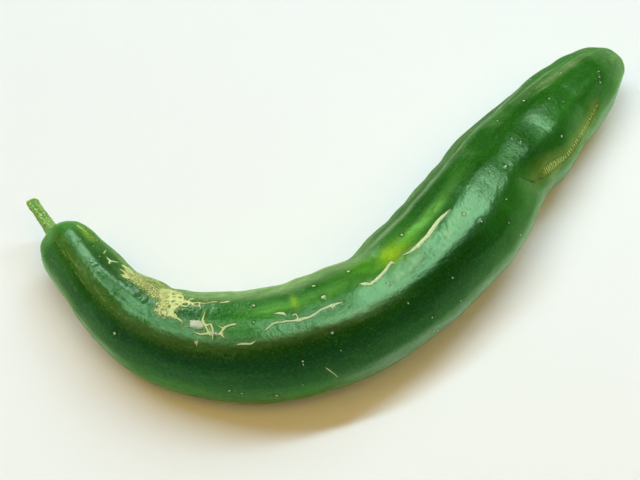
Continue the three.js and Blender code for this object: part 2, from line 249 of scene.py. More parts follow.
NET_THREADS = [
    [
        (60.5, 62.8, 0.26), (62, 59.6, 0.26), (63.8, 58, 0.26), (66.6, 56, 0.26),
    ],
    [
        (64.1, 67.2, 0.24), (65.8, 66.8, 0.24), (66.7, 62.8, 0.24), (68.5, 63.6, 0.24), (69.5, 67.2, 0.24),
        (69.4, 71.2, 0.24), (68.2, 70, 0.24), (67.2, 72, 0.24),
    ],
    [
        (65.1, 76.8, 0.3), (66.4, 74.8, 0.3), (67.7, 73.2, 0.3), (69.4, 73.2, 0.3), (70.7, 72, 0.3),
    ],
    [
        (64.8, 70.4, 0.26), (66.2, 75.6, 0.26), (66.9, 82, 0.26), (68.2, 84.4, 0.26), (69.5, 84.8, 0.26),
    ],
    [
        (63.5, 60, 0.22), (65.1, 70, 0.22),
    ],
    [
        (67.6, 72, 0.22), (68.9, 76.8, 0.22), (70, 78.4, 0.22),
    ],
    [
        (67.9, 79.6, 0.22), (69.5, 78.8, 0.22), (70, 78.4, 0.22),
    ],
    [
        (70, 78.4, 0.26), (69.8, 82.8, 0.26), (69.5, 85.6, 0.26), (69.2, 89.6, 0.26), (69.4, 94, 0.26),
        (69.8, 96.8, 0.26),
    ],
    [
        (68, 87.2, 0.22), (68.2, 92, 0.22), (68.4, 96.4, 0.22),
    ],
    [
        (68.7, 85.6, 0.22), (68.7, 91.6, 0.22), (68.9, 96, 0.22),
    ],
    [
        (71, 96, 0.2), (71, 97.2, 0.2), (70.7, 98, 0.2), (70.2, 98, 0.2), (69.8, 97.2, 0.2), (69.8, 95.6, 0.2),
        (70.2, 94.8, 0.2), (70.7, 95.2, 0.2), (71, 96, 0.2),
    ],
    [
        (68.4, 98.4, 0.3), (69.4, 96.4, 0.3), (70, 97.6, 0.3),
    ],
    [
        (71.2, 98, 0.26), (72, 98.8, 0.26), (73, 100.4, 0.26),
    ],
    [
        (73, 76.8, 0.22), (73, 78.8, 0.22), (72.6, 80.4, 0.22), (72.1, 81.2, 0.22), (71.5, 81.2, 0.22),
        (70.8, 80.4, 0.22), (70.3, 78.8, 0.22), (70.3, 77.2, 0.22), (70.7, 75.6, 0.22), (71.2, 74, 0.22),
        (72, 74.4, 0.22), (72.6, 75.2, 0.22), (73, 76.8, 0.22),
    ],
    [
        (70.2, 72.4, 0.3), (71.6, 72, 0.26), (72.8, 74, 0.28), (74.1, 74.4, 0.22), (75.4, 72.8, 0.2),
        (76.7, 73.2, 0.2), (78.2, 73.6, 0.16), (80.1, 72, 0.14),
    ],
    [
        (73.8, 76, 0.18), (74.9, 78.4, 0.18), (76.1, 78.8, 0.18), (76.7, 77.2, 0.18), (76.7, 73.6, 0.18),
    ],
    [
        (76.7, 77.2, 0.18), (77.2, 79.6, 0.18),
    ],
    [
        (72.1, 71.2, 0.18), (72.3, 67.2, 0.18), (72.5, 65.2, 0.18),
    ],
    [
        (72.1, 69.2, 0.16), (73.4, 66.8, 0.16),
    ],
    [
        (77.7, 68, 0.16), (78.7, 67.6, 0.16),
    ],
    [
        (80.5, 70.8, 0.2), (81.9, 70.4, 0.2),
    ],
    [
        (83.9, 71.2, 0.2), (85.1, 70.8, 0.24), (85.9, 70, 0.38), (86.4, 69.6, 0.3),
    ],
    [
        (62.7, 86, 0.2), (62.7, 88.8, 0.2),
    ],
    [
        (37.5, 49.6, 0.22), (38.9, 48.8, 0.22), (42.2, 56, 0.22),
    ],
    [
        (37, 45.2, 0.22), (40.4, 44.4, 0.22), (44.2, 54.4, 0.22),
    ],
    [
        (39.8, 60.8, 0.2), (41.9, 61.2, 0.2), (44.8, 66.4, 0.2),
    ],
    [
        (42.9, 70, 0.2), (44.2, 67.2, 0.2), (46.1, 68, 0.2),
    ],
    [
        (43.8, 72, 0.2), (45.8, 70.8, 0.2), (46.6, 68.4, 0.2),
    ],
    [
        (58.7, 77.6, 0.2), (59.9, 78.4, 0.2), (60, 77.6, 0.2),
    ],
    [
        (63.5, 95.2, 0.2), (64.4, 96, 0.2),
    ],
]
STAR_ARMS = [
    [
        (79.5, 96.4, 0.3), (79.5, 92.4, 0.22), (79.5, 86.4, 0.12),
    ],
    [
        (80, 98.8, 0.3), (81, 103.2, 0.26), (81.9, 108, 0.3),
    ],
    [
        (81.9, 108, 0.3), (82.8, 110, 0.3),
    ],
    [
        (81, 101.2, 0.2), (82.3, 99.6, 0.24), (82.9, 103.6, 0.26), (83.4, 108, 0.28),
    ],
    [
        (82.8, 109.6, 0.3), (81, 110.4, 0.26), (79.7, 111.6, 0.24), (78.3, 110.4, 0.14),
    ],
    [
        (85.7, 109.6, 0.3), (86.2, 111.6, 0.26), (86.5, 113.2, 0.14),
    ],
    [
        (85.5, 109.2, 0.34), (86.2, 104.8, 0.3), (86.9, 102, 0.28), (87.8, 100.4, 0.26), (89.5, 99.6, 0.2),
    ],
    [
        (86.4, 104, 0.24), (85.2, 102, 0.14),
    ],
    [
        (83.4, 111.2, 0.24), (83.4, 115.6, 0.12),
    ],
    [
        (75.6, 105.2, 0.14), (74.6, 105.2, 0.14),
    ],
    [
        (79.2, 119.2, 0.2), (79.2, 122, 0.2),
    ],
    [
        (78.7, 120.4, 0.14), (79.2, 122, 0.14),
    ],
]
FINE_LINES = [
    [
        (90.5, 119.6, 0.14), (91.3, 119.2, 0.24), (92.2, 119.2, 0.26), (93.2, 119.6, 0.24), (93.9, 119.2, 0.2),
        (94.4, 118, 0.12),
    ],
    [
        (97.6, 107.6, 0.14), (98.6, 105.2, 0.24), (99.8, 102.4, 0.26), (101.2, 102, 0.26),
        (102.7, 102.4, 0.26), (103.7, 102.4, 0.24), (105, 103.2, 0.24), (106.3, 103.6, 0.28),
        (107.3, 104.4, 0.46), (108.4, 103.6, 0.4), (110.1, 104, 0.3), (111.5, 103.2, 0.28), (112.9, 102, 0.28),
        (114.3, 100.4, 0.28), (116, 100, 0.3), (117.6, 99.6, 0.38), (118.6, 100, 0.3), (119.6, 100, 0.2),
        (120.5, 100.8, 0.12),
    ],
    [
        (106, 97.2, 0.16), (106.8, 97.2, 0.18), (107.1, 99.6, 0.16), (107.1, 103.6, 0.22),
    ],
    [
        (101.1, 92.4, 0.14), (102.1, 92.8, 0.34), (103.2, 94, 0.36), (103.7, 96, 0.2),
    ],
    [
        (117.8, 100.4, 0.3), (117.6, 104, 0.12),
    ],
    [
        (28.8, 58.4, 0.14), (27.5, 51.6, 0.14),
    ],
    [
        (31.6, 61.2, 0.12), (33.1, 61.2, 0.26), (34, 59.6, 0.28), (34.5, 55.6, 0.24), (35, 51.2, 0.1),
    ],
    [
        (33.1, 61.2, 0.14), (34.9, 65.6, 0.14),
    ],
    [
        (33.9, 61.2, 0.14), (34.5, 66.4, 0.14),
    ],
]
ROPES = [
    [
        (128.1, 92, 0.3), (128.7, 93.2, 0.5), (130.4, 96.4, 0.48), (132.3, 96, 0.5), (134.1, 94.8, 0.5),
        (136.7, 93.2, 0.46), (138.7, 92, 0.44), (140.3, 90.4, 0.4), (141.8, 89.6, 0.38), (142.1, 90.8, 0.34),
    ],
    [
        (147, 91.2, 0.12), (148.7, 92.8, 0.3), (150.3, 93.2, 0.48), (151.9, 93.6, 0.62), (153.4, 93.2, 0.6),
        (155.2, 92.8, 0.55), (156.8, 92.8, 0.62), (158.5, 91.6, 0.62), (160.8, 90.4, 0.58),
        (163.1, 89.6, 0.55), (165.2, 89.6, 0.5), (167.1, 90, 0.34), (169.4, 90.4, 0.12),
    ],
]
FAINT_LINES = [
    [
        (130.8, 90.8, 0.22), (133, 91.6, 0.22), (135.3, 90.8, 0.22),
    ],
    [
        (146, 88.4, 0.22), (148.5, 89.6, 0.22), (150.8, 90.4, 0.22), (153.2, 90.8, 0.22), (155.4, 90.4, 0.22),
        (158, 90, 0.22),
    ],
]
CREASE = [
    [
        (195.4, 122.8, 0.1), (197.4, 129.2, 0.25), (199.5, 136, 0.4), (201.6, 143.2, 0.5),
    ],
    [
        (204.1, 143.6, 0.16), (206.9, 149.6, 0.16),
    ],
]
SHOULDER_LINES = [
    [(13.0, 112.8, 0.15), (14.4, 113.6, 0.22), (18.8, 113.6, 0.24), (22.3, 113.6, 0.20)],
    [(26.5, 115.4, 0.12), (28.3, 116.4, 0.22), (32.5, 116.4, 0.20)],
    [(33.5, 117.8, 0.15), (37.6, 119.1, 0.22), (41.7, 120.5, 0.15)],
    [(16.8, 143.0, 0.12), (17.8, 141.1, 0.18), (21.8, 135.6, 0.20)],
    [(25.3, 128.7, 0.12), (30.7, 132.9, 0.16), (34.6, 137.0, 0.12)],
    [(12.4, 99.9, 0.12), (15.4, 98.6, 0.18), (18.3, 97.4, 0.14)],
    [(19.0, 107.2, 0.10), (24.0, 108.6, 0.16), (29.0, 109.6, 0.16), (34.0, 112.0, 0.10)],
    [(38.0, 110.0, 0.10), (43.0, 113.6, 0.16), (48.0, 117.0, 0.16), (54.0, 119.0, 0.10)],
    [(60.0, 116.0, 0.10), (68.0, 118.0, 0.15), (75.0, 119.0, 0.10)],
]
TIP_LINES = [
    [(111.4, 156.6, 0.12), (112.8, 164.7, 0.11), (113.6, 171.0, 0.06)],
]
FOLDS = [
    [(24.4, 93.5, 0.10), (24.3, 91.4, 0.20), (25.2, 86.0, 0.22), (25.9, 80.0, 0.12)],
    [(33.7, 94.0, 0.10), (33.8, 91.6, 0.20), (34.3, 86.0, 0.18), (34.6, 83.0, 0.10)],
    [(39.7, 95.0, 0.10), (39.9, 91.0, 0.18), (40.2, 87.0, 0.12)],
    [(29.0, 91.5, 0.08), (29.4, 87.0, 0.13), (29.8, 83.0, 0.08)],
    [(45.5, 99.6, 0.12), (48.0, 101.2, 0.32), (52.2, 102.6, 0.42), (56.0, 105.0, 0.38), (59.7, 106.7, 0.30), (63.0, 107.0, 0.12)],
]
CORK_DUST = [
    [
        (8, 62.8, 0.2), (9.5, 61.2, 0.5), (11, 61.6, 0.6), (12, 59.2, 0.6), (12.4, 56.8, 0.5), (13.6, 56, 0.4),
        (14.7, 55.6, 0.3), (15.9, 53.6, 0.25), (17.4, 52.8, 0.2), (18, 50.4, 0.2),
    ],
    [
        (20, 48.4, 0.2), (21.4, 51.2, 0.2),
    ],
]
DENTS = [
    [
        (144.1, 96.4, 0.2), (144, 102, 0.22), (143.3, 106.8, 0.2), (141.8, 108.4, 0.1),
    ],
    [
        (150, 102.8, 0.14), (148.8, 106, 0.22), (147.5, 107.2, 0.2), (146.4, 105.2, 0.1),
    ],
    [
        (160.3, 99, 0.12), (159.8, 104.8, 0.2), (159.6, 109, 0.12),
    ],
]
LADDER = [
    [
        (203.4, 141.2, 0.6), (208.2, 143.6, 1.9), (213.7, 148.4, 2.3), (219.3, 153.4, 2.0), (223.1, 156.2, 1.75),
        (226.3, 157.0, 1.6), (229.6, 156.4, 1.5), (233.9, 155.6, 1.5), (238, 155.2, 1.4), (242.7, 155.6, 1.4),
        (247.4, 152, 1.25), (251.2, 148.8, 1.1), (255.1, 146.4, 0.6),
    ],
]
# outlines of (s, degrees)
NET_BAND = [
    (38.9, 48.8), (39.3, 40.4), (43, 48), (45.5, 48), (49.6, 55.2), (52.8, 60.4), (55.3, 59.2), (58.1, 61.2),
    (60.4, 62), (62, 59.6), (63.5, 63.6), (64, 71.6), (65.1, 76.8), (65.4, 82.4), (64.6, 84.8), (62.8, 81.6),
    (61.5, 79.2), (59.9, 78), (58.1, 76.4), (56.1, 75.2), (54.5, 74.4), (52.2, 72.8), (50.2, 71.2),
    (47.9, 70.4), (45.8, 70.8), (43.7, 68.4), (42.5, 60.4),
]
NET_FOOT = [
    (62.8, 81.6), (64.4, 83.6), (66.1, 82), (67.1, 80.4), (66.7, 86.4), (67.1, 90.8), (68.4, 94.4),
    (68.5, 98.4), (67.2, 100), (65.8, 100), (64.8, 98.4), (63.5, 95.6), (64, 92.4), (63.8, 87.2),
]
NET_MIDDLE = [
    (58.6, 62.0), (59.2, 56.0), (61.0, 53.0), (64.3, 54.8), (66.4, 54.8), (69.0, 62.0), (70.7, 70.6), (71.0, 76.0),
    (70.4, 83.6), (69.7, 90.8), (69.8, 96.8), (69.0, 98.4), (67.2, 100.0), (65.6, 100.8), (63.6, 96.0),
    (63.6, 88.4), (62.7, 80.4), (60.7, 74.8),
]
NET_FRINGE = [
    (37.1, 44.8), (38.8, 40.4), (39.9, 34.4), (45.5, 32.8), (49.1, 31.2), (54.0, 36.2), (58.1, 40.6), (62.2, 47.2),
    (66.0, 53.6), (62.4, 61.2), (53.7, 58.8), (48.8, 54.8), (44.3, 50.0), (41.1, 48.8),
]
# gaps in the net: (s, degrees, half length, half width in mm)
NET_GAPS = [
    (64.9, 64.0, 0.85, 0.42), (64.1, 72.4, 0.55, 0.45), (68.5, 67.2, 0.70, 0.42), (67.2, 76.8, 0.50, 0.75),
    (68.9, 80.4, 0.55, 0.32), (67.2, 87.2, 0.62, 0.60), (68.9, 91.6, 0.30, 0.80), (68.4, 73.6, 0.36, 0.24),
    (64.4, 79.6, 0.24, 0.34), (64.4, 86.0, 0.24, 0.26), (65.9, 92.4, 0.32, 0.42), (57.6, 62.4, 0.30, 0.32),
    (62.4, 68.5, 0.34, 0.26), (66.3, 60.0, 0.5, 0.24), (62.0, 61.0, 0.4, 0.22), (66.2, 82.0, 0.2, 0.4),
]
STAR_PATCH = [
    (75.4, 98), (76.7, 96.4), (78.3, 96.4), (79.3, 96.4), (80, 98.8), (80.5, 102.4), (80.1, 106), (78.8, 108),
    (77.2, 107.6), (75.7, 105.2), (75.6, 100.8),
]
STAR_BODY = [
    (82.6, 108.8), (83.4, 107.2), (84.7, 108), (85.9, 108.4), (86, 110.8), (84.9, 111.6), (83.4, 111.6),
]
# small corky dots: (s, degrees, radius)
DOTS = [
    (94.9, 78.8, 0.34), (115, 124.4, 0.36), (116.3, 88.8, 0.5), (116.9, 88, 0.36), (115.3, 71.6, 0.36),
    (115.8, 72, 0.34), (94.7, 98.8, 0.2), (115.8, 142.8, 0.2), (152.1, 73.2, 0.38), (135.7, 104, 0.4),
    (135.7, 106, 0.3), (127.6, 71.2, 0.36), (127.9, 71.6, 0.3), (153.7, 137.6, 0.28), (171.2, 103.2, 0.4),
    (130, 80.4, 0.16), (194.8, 106, 0.45), (225.9, 132.8, 0.42), (229.9, 73.2, 0.42), (235.8, 94.8, 0.32),
    (238.9, 109.6, 0.22), (208.4, 93.2, 0.28), (209, 102.8, 0.34), (184.6, 124.8, 0.3), (201, 142.8, 0.4),
    (255.3, 146.4, 0.5), (24.2, 66, 0.22), (18.7, 76.4, 0.2), (30.3, 71.2, 0.2), (54.8, 143.2, 0.42),
    (105.7, 143.2, 0.3), (137.9, 131.2, 0.3), (143.1, 158.4, 0.3), (180.1, 140.8, 0.3), (173, 119.6, 0.3),
    (183, 163.2, 0.3), (253.7, 78.8, 0.3), (215.1, 66.4, 0.3), (144.7, 184.8, 0.3), (153.4, 165.2, 0.3),
    (98.3, 180.7, 0.34), (254.9, 146.6, 0.5), (266.8, 113.4, 0.36), (264.8, 119.8, 0.42), (263.2, 126.2, 0.38), (87.4, 171.3, 0.3), (104.7, 169.6, 0.2), (90.3, 174.9, 0.3), (105.7, 147, 0.16),
]


def inside(outline):
    """How far inside an outline each place of the skin is, in mm; negative outside it."""
    p = np.array(outline, float)
    k = math.radians(1) * float(radius(np.array(p[:, 0].mean())))
    x, y = S, DEG * k
    q = np.stack([p[:, 0], p[:, 1] * k], -1)
    away = np.full(S.shape, 60.0)
    within = np.zeros(S.shape, bool)
    for (x0, y0), (x1, y1) in zip(q, np.roll(q, -1, 0)):
        dx, dy = x1 - x0, y1 - y0
        u = np.clip(((x - x0) * dx + (y - y0) * dy) / (dx * dx + dy * dy), 0, 1)
        away = np.minimum(away, np.hypot(x - x0 - u * dx, y - y0 - u * dy))
        if y0 != y1:
            within ^= ((y0 > y) != (y1 > y)) & (x < x0 + (y - y0) / (y1 - y0) * dx)
    return np.where(within, away, -away)


def follow(lines, reach=2.6):
    """The nearest of some drawn lines, at each place of the skin, in mm: how far across it the place is, with its
    sign, the line's half width there, how far outside the line it is, and how far along the line."""
    across, half = np.full(S.shape, 9.0), np.full(S.shape, 0.3)
    outside, along = np.full(S.shape, 9.0), np.zeros(S.shape)
    for line in lines:
        run = 0.0
        for (s0, a0, w0), (s1, a1, w1) in zip(line[:-1], line[1:]):
            k = math.radians(1) * float(radius(np.array((s0 + s1) / 2)))
            dx, dy = s1 - s0, (a1 - a0) * k
            length = math.hypot(dx, dy)
            if length < 1e-6:
                continue
            near = ((S > min(s0, s1) - reach) & (S < max(s0, s1) + reach)
                    & (DEG * k > min(a0, a1) * k - reach) & (DEG * k < max(a0, a1) * k + reach))
            x, y = S[near] - s0, (DEG[near] - a0) * k
            u = np.clip((x * dx + y * dy) / length**2, 0, 1)
            w = w0 + (w1 - w0) * u
            d = np.hypot(x - u * dx, y - u * dy)
            best = d - w < outside[near]
            where = tuple(i[best] for i in np.nonzero(near))
            side = np.sign(x * dy - y * dx)
            across[where], half[where] = (d * side)[best], w[best]
            outside[where], along[where] = (d - w)[best], (run + u * length)[best]
            run += length
    return across, half, outside, along


net_across, net_half, net_out, _ = follow(NET_THREADS + STAR_ARMS)
line_across, line_half, line_out, line_run = follow(FINE_LINES + TIP_LINES)
rope_across, rope_half, rope_out, rope_run = follow(ROPES)
faint_across, faint_half, faint_out, _ = follow(FAINT_LINES + SHOULDER_LINES)
crease_across, crease_half, crease_out, _ = follow(CREASE)
dust_across, dust_half, dust_out, _ = follow(CORK_DUST)
dent_across, dent_half, dent_out, _ = follow(DENTS + FOLDS)
rung_across, rung_half, rung_out, rung_run = follow(LADDER, 5.0)
net_band, net_foot = inside(NET_BAND), np.maximum(inside(NET_FOOT), inside(NET_MIDDLE))
net_fringe = inside(NET_FRINGE)
net_gap = np.full(S.shape, 9.0)
for s0, a0, ws, wa in NET_GAPS:
    across_mm = (DEG - a0) * math.radians(1) * float(radius(np.array(s0)))
    net_gap = np.minimum(net_gap, (np.hypot((S - s0) / ws, across_mm / wa) - 1) * min(ws, wa))
star_patch, star_body = inside(STAR_PATCH), inside(STAR_BODY)

dot_x, dot_y, dot_z = (np.full(S.shape, 3.0) for _ in range(3))
dot_out = np.full(S.shape, 9.0)
for s0, a0, r0 in DOTS:
    x, y = S - s0, (DEG - a0) * math.radians(1) * float(radius(np.array(s0)))
    d = np.hypot(x, y)
    best = d - r0 < dot_out
    dot_out[best] = (d - r0)[best]
    close = best & (d < 3)
    # scaled so that the dot's edge is at 1
    dot_x[close], dot_y[close], dot_z[close] = (x / r0)[close], (y / r0)[close], 0.0
    dot_x[best & ~close], dot_y[best & ~close], dot_z[best & ~close] = 9.0, 9.0, 9.0


def value_of(rows):
    p = np.array(rows, float)
    return np.interp(S, p[:, 0], p[:, 1])


def band(centre, half, strength):
    """A soft band that runs along the fruit: rows of (s, value) for its centre and half width in degrees, and its strength."""
    return value_of(strength) * bell((DEG - value_of(centre)) / value_of(half), 1.0)


def spot(s0, a0, ws, wa, tilt=0.0):
    """A soft spot, with its widths in mm and degrees."""
    return bell((S - s0) / ws, 1.0) * bell((DEG - a0 - tilt * (S - s0)) / wa, 1.0)


# colours laid on the skin, as soft shares of each: the skin's own tones, and painted shade, reflection and highlight
OLIVE = band([(8, 108), (22, 108), (32, 107), (45, 115), (60, 122), (75, 124), (90, 122), (105, 119), (125, 119)],
             [(8, 8), (32, 8), (50, 7), (125, 5)], [(4, 0), (12, 0.75), (36, 0.9), (52, 1), (85, 1), (128, 0.9), (146, 0)])
OLIVE = np.clip(OLIVE + band([(232, 68), (250, 75), (266, 75)], [(232, 3.5), (266, 3.5)], [(230, 0), (240, 0.5), (258, 0.4), (270, 0)]), 0, 1)
# painted reflection and shade: a darker, bluish green on the outer flank
PAINTED_OUTER_REFLECTION = ramp(126, 140, DEG) * ramp(178, 162, DEG) * value_of([(4, 0.2), (20, 0.8), (40, 1), (110, 0.85), (160, 0.6), (190, 0)])
PALE_AND_SHEEN = ramp(74, 58, DEG) * value_of([(46, 0), (60, 0.6), (80, 1), (112, 1), (122, 0.7), (135, 0.7), (142, 0.2), (150, 0.0)])
# a painted highlight: a pale line that runs along the rib at the far edge of the straight part
EDGE_HIGHLIGHT = band([(138, 57), (150, 56), (158, 54), (165, 53), (172, 51.5), (180, 53.5), (188, 51.5), (195, 49.5), (202, 49), (210, 51.5), (220, 52), (230, 52), (240, 49.5)],
                 [(138, 2.6), (165, 2.2), (240, 2.0)], [(128, 0), (142, 0.8), (236, 0.8), (248, 0)])
PALE_AND_SHEEN = np.maximum(PALE_AND_SHEEN, EDGE_HIGHLIGHT)
PALE_AND_SHEEN = np.maximum(PALE_AND_SHEEN, band([(243, 74), (266, 79)], [(243, 3.5), (266, 4.5)], [(238, 0), (247, 0.8), (262, 0.8), (270, 0)]))
PALE_AND_SHEEN = np.maximum(PALE_AND_SHEEN, band([(234, 77), (245, 81), (254, 79.5), (262, 78), (274, 80)], [(234, 1.1), (274, 1.5)],
                             [(232, 0), (240, 0.9), (250, 0.5), (256, 1), (268, 0.8), (278, 0)]))
PALE_AND_SHEEN = np.maximum(PALE_AND_SHEEN, band([(240, 70), (250, 71.5), (262, 71), (274, 74)], [(240, 1.0), (274, 1.4)],
                             [(238, 0), (246, 0.7), (254, 0.3), (262, 0.8), (278, 0)]))
PALE_AND_SHEEN = np.maximum(PALE_AND_SHEEN, band([(205, 52), (221, 57), (235, 61), (250, 62), (265, 64)], [(205, 1.0), (265, 1.3)],
                             [(200, 0), (212, 0.7), (226, 0.35), (238, 0.7), (252, 0.8), (268, 0)]))
PALE_AND_SHEEN = np.clip(PALE_AND_SHEEN + 0.20 * ramp(266, 280, S) + 0.30 * bell(S - 7, 3.5) * ramp(105, 115, DEG), 0, 1)
# small pale patches on the broad upper face
for s0, a0, ws, wa, share in ((147.2, 104, 1.9, 3.2, 0.85), (141.5, 105.4, 2.0, 3.2, 0.85), (162.5, 104, 1.9, 2.8, 0.80), (151.6, 99.5, 2.2, 2.6, 0.45),
                              (156.8, 109, 2.0, 2.2, 0.35), (167.5, 99.5, 2.4, 2.6, 0.40), (136.5, 108, 2.2, 2.4, 0.30), (173.5, 103, 2.0, 2.4, 0.30),
                              (118.5, 101, 2.2, 2.6, 0.20), (97.0, 103, 2.4, 2.8, 0.22)):
    PALE_AND_SHEEN = np.clip(PALE_AND_SHEEN + share * spot(s0, a0, ws, wa) * (1 + 0.5 * waves(STRAIGHT, 2.4, 43)), 0, 1)
# painted reflection: the inner flank is painted pale, standing in for the bright surroundings seen in it, from pale on
# the bend to a duller green along the rest, in long soft streaks, and less pale towards the bottom
FLANK_SHEEN = value_of([(0, 0.10), (30, 0.30), (60, 0.50), (85, 0.60), (115, 0.58), (150, 0.44), (200, 0.34), (270, 0.26), (294, 0.20)])
PALE_AND_SHEEN = PALE_AND_SHEEN + (FLANK_SHEEN * (1 + 0.35 * waves(STRAIGHT, 5, 41, (5, 1, 1))) - PALE_AND_SHEEN) * ramp(50 - 8 * ramp(132, 146, S), 38 - 9 * ramp(132, 146, S), DEG)
PALE_AND_SHEEN = np.clip(PALE_AND_SHEEN * (1 - 0.35 * ramp(-20, -60, DEG)), 0, 1)
# painted reflection: a pale grey-green where the outer flank turns under, standing in for the floor seen in the skin,
# with half of the painted highlight along the rib added
PAINTED_SHEEN_FROM = 164 - 8 * ramp(180, 195, S) + 8 * ramp(211, 219, S) * ramp(258, 250, S) + 5 * waves(STRAIGHT, 8, 42, (4, 1, 1)) * ramp(170, 200, DEG)
PAINTED_SHEEN = ramp(PAINTED_SHEEN_FROM, PAINTED_SHEEN_FROM + 16, DEG) * (1 - 0.55 * ramp(190, 222, DEG)) * ramp(291, 280, S) * value_of([(0, 0.8), (50, 0.8), (62, 0.1), (110, 0.1), (128, 0.9), (195, 1), (294, 1)])
PAINTED_SHEEN = np.clip(PAINTED_SHEEN + 0.5 * EDGE_HIGHLIGHT, 0, 1)
GOLD = np.clip(spot(144.4, 82.5, 3.4, 6.0)
               + 0.45 * spot(107.5, 83, 0.8, 6) + 0.5 * spot(16, 57, 3.0, 6.0), 0, 1)
LIME = np.clip(spot(136, 75, 3.2, 7.0) + 0.9 * spot(145, 80, 6, 10) + 0.6 * spot(133, 70, 5, 10) + 0.5 * spot(153, 84, 5, 5)
               + 0.45 * spot(128, 82, 8, 9), 0, 1)
LEAF = np.clip(1.3 * band([(150, 78.5), (168, 78), (190, 74)], [(150, 3.6), (168, 3.4), (190, 4.0)], [(146, 0), (151, 1), (168, 1), (175, 0.3), (190, 0)])
               + band([(95, 86), (125, 86)], [(95, 5), (125, 5)], [(88, 0), (98, 0.5), (120, 0.5), (130, 0)]), 0, 1)
# painted shade: darker green laid where shade falls and no gloss shows, beside the broad upper face near the bend,
# below it along the fruit, and high on the inner side of the straight part
PAINTED_SHADE = 0.8 * band([(28, 70), (45, 79), (60, 83), (74, 86)], [(28, 6), (74, 6)], [(24, 0), (34, 1), (66, 1), (80, 0)])
PAINTED_SHADE = PAINTED_SHADE + band([(20, 122), (45, 128), (60, 132), (80, 131), (180, 128)], [(60, 7), (180, 7)], [(20, 0), (32, 0.7), (75, 0.7), (180, 0.7), (200, 0)])
PAINTED_SHADE = PAINTED_SHADE + 0.8 * ramp(51, 47, DEG) * ramp(32, 41, DEG) * value_of([(134, 0), (146, 1), (222, 1), (234, 0)])
FRESH = np.clip((1 - ramp(9, 19, S)) * (1 - 0.4 * spot(8, 86, 6, 22)) + 0.9 * ramp(205, 235, S) * ramp(104, 116, DEG) * ramp(160, 145, DEG)
                + 1.3 * band([(172, 130), (200, 132)], [(172, 9), (200, 14)], [(168, 0), (182, 0.8), (196, 1), (207, 0)])
                + 0.8 * band([(80, 97), (104, 97)], [(80, 15), (104, 15)], [(78, 0), (87, 1), (98, 1), (106, 0)])
                + 0.5 * ramp(225, 262, S) + 0.5 * ramp(264, 282, S), 0, 1)
BLOOM = 0.5 * bell(S - 9.0, 3.0)
COLLAR = 1 - ramp(1.5, 6.0, S)
HALO = np.clip(1.25 * bell(np.maximum(rung_out - 0.2, 0), 1.5) * ramp(198, 208, S)
               + 0.9 * spot(207, 142, 6.0, 8, 0.8) * (1 - ramp(214, 222, S))
               + 0.5 * bell(np.maximum(-net_band, 0), 0.8) + 0.4 * bell(np.maximum(net_out, 0), 0.6)
               + 0.35 * bell(np.maximum(line_out, 0), 0.5), 0, 1)


# ------------------------------------------------------------------ relief

lift = np.zeros_like(S)
ends = ramp(0, 10, S) * (1 - ramp(LENGTH - 8, LENGTH, S))
# low lobes that run along the fruit, and shallow dents
lift += 0.10 * np.cos(ANG * 9 + 0.6 + 0.5 * np.sin(S / 43)) * (0.35 + 0.65 * ramp(180, 260, S) + 0.5 * (1 - ramp(8, 40, S))) * ends
lift += 0.08 * waves(STRAIGHT, 13, 11, (2.2, 1, 1)) * ends
lift += 0.032 * waves(STRAIGHT, 6, 12, (1.8, 1, 1)) * ends * (1 - 0.5 * ramp(190, 212, S))
lift += 0.011 * waves(STRAIGHT, 2.6, 13, (1.3, 1, 1)) * ends * (1 - 0.6 * ramp(190, 212, S))
# fine wrinkles across the bend
lift += 0.020 * waves(STRAIGHT, 1.8, 14, (1, 4, 4)) * bell(S - 50, 20) * bell(wrap(ANG - math.radians(95)), math.radians(22))

# two low ridges that bound the broad upper face
LOWER_RIDGE = np.array([[0, 92], [8, 92], [32, 94], [40, 99], [50, 106], [60, 112], [75, 117], [90, 118], [121, 118], [190, 117],
                        [200, 113], [215, 118], [240, 122], [294, 122]], float)
UPPER_RIDGE = np.array([[0, 76], [8, 76], [32, 80], [40, 84], [50, 90], [60, 95], [75, 99], [90, 99], [121, 92], [190, 90],
                        [200, 90], [215, 94], [240, 98], [294, 98]], float)
for ridge, height in ((LOWER_RIDGE, 0.22), (UPPER_RIDGE, 0.12)):
    aside = np.radians(DEG - np.interp(S, ridge[:, 0], ridge[:, 1])) * ROUND
    lift += (height + 0.14 * (1 - ramp(38, 62, S))) * bell(aside, 1.8 - 0.5 * (1 - ramp(38, 62, S))) * ramp(0, 10, S) * (1 - ramp(265, 285, S))

# the form is fuller on top at this place than at its flanks
lift += 0.85 * bell(S - 224, 10) * bell(wrap(ANG - math.radians(134)), math.radians(15))
lift -= 0.35 * bell(S - 224, 10) * bell(wrap(ANG - math.radians(100)), math.radians(13))
lift += 0.42 * bell(S - 245.5, 3.2) * bell(wrap(ANG - math.radians(105)), math.radians(38))
lift -= 0.18 * bell(S - 251.5, 3.5) * bell(wrap(ANG - math.radians(105)), math.radians(38))
# and here, where its inner flank is drawn in
lift += 0.30 * bell(S - 142.0, 3.0) * bell(wrap(ANG - math.radians(72)), math.radians(16))

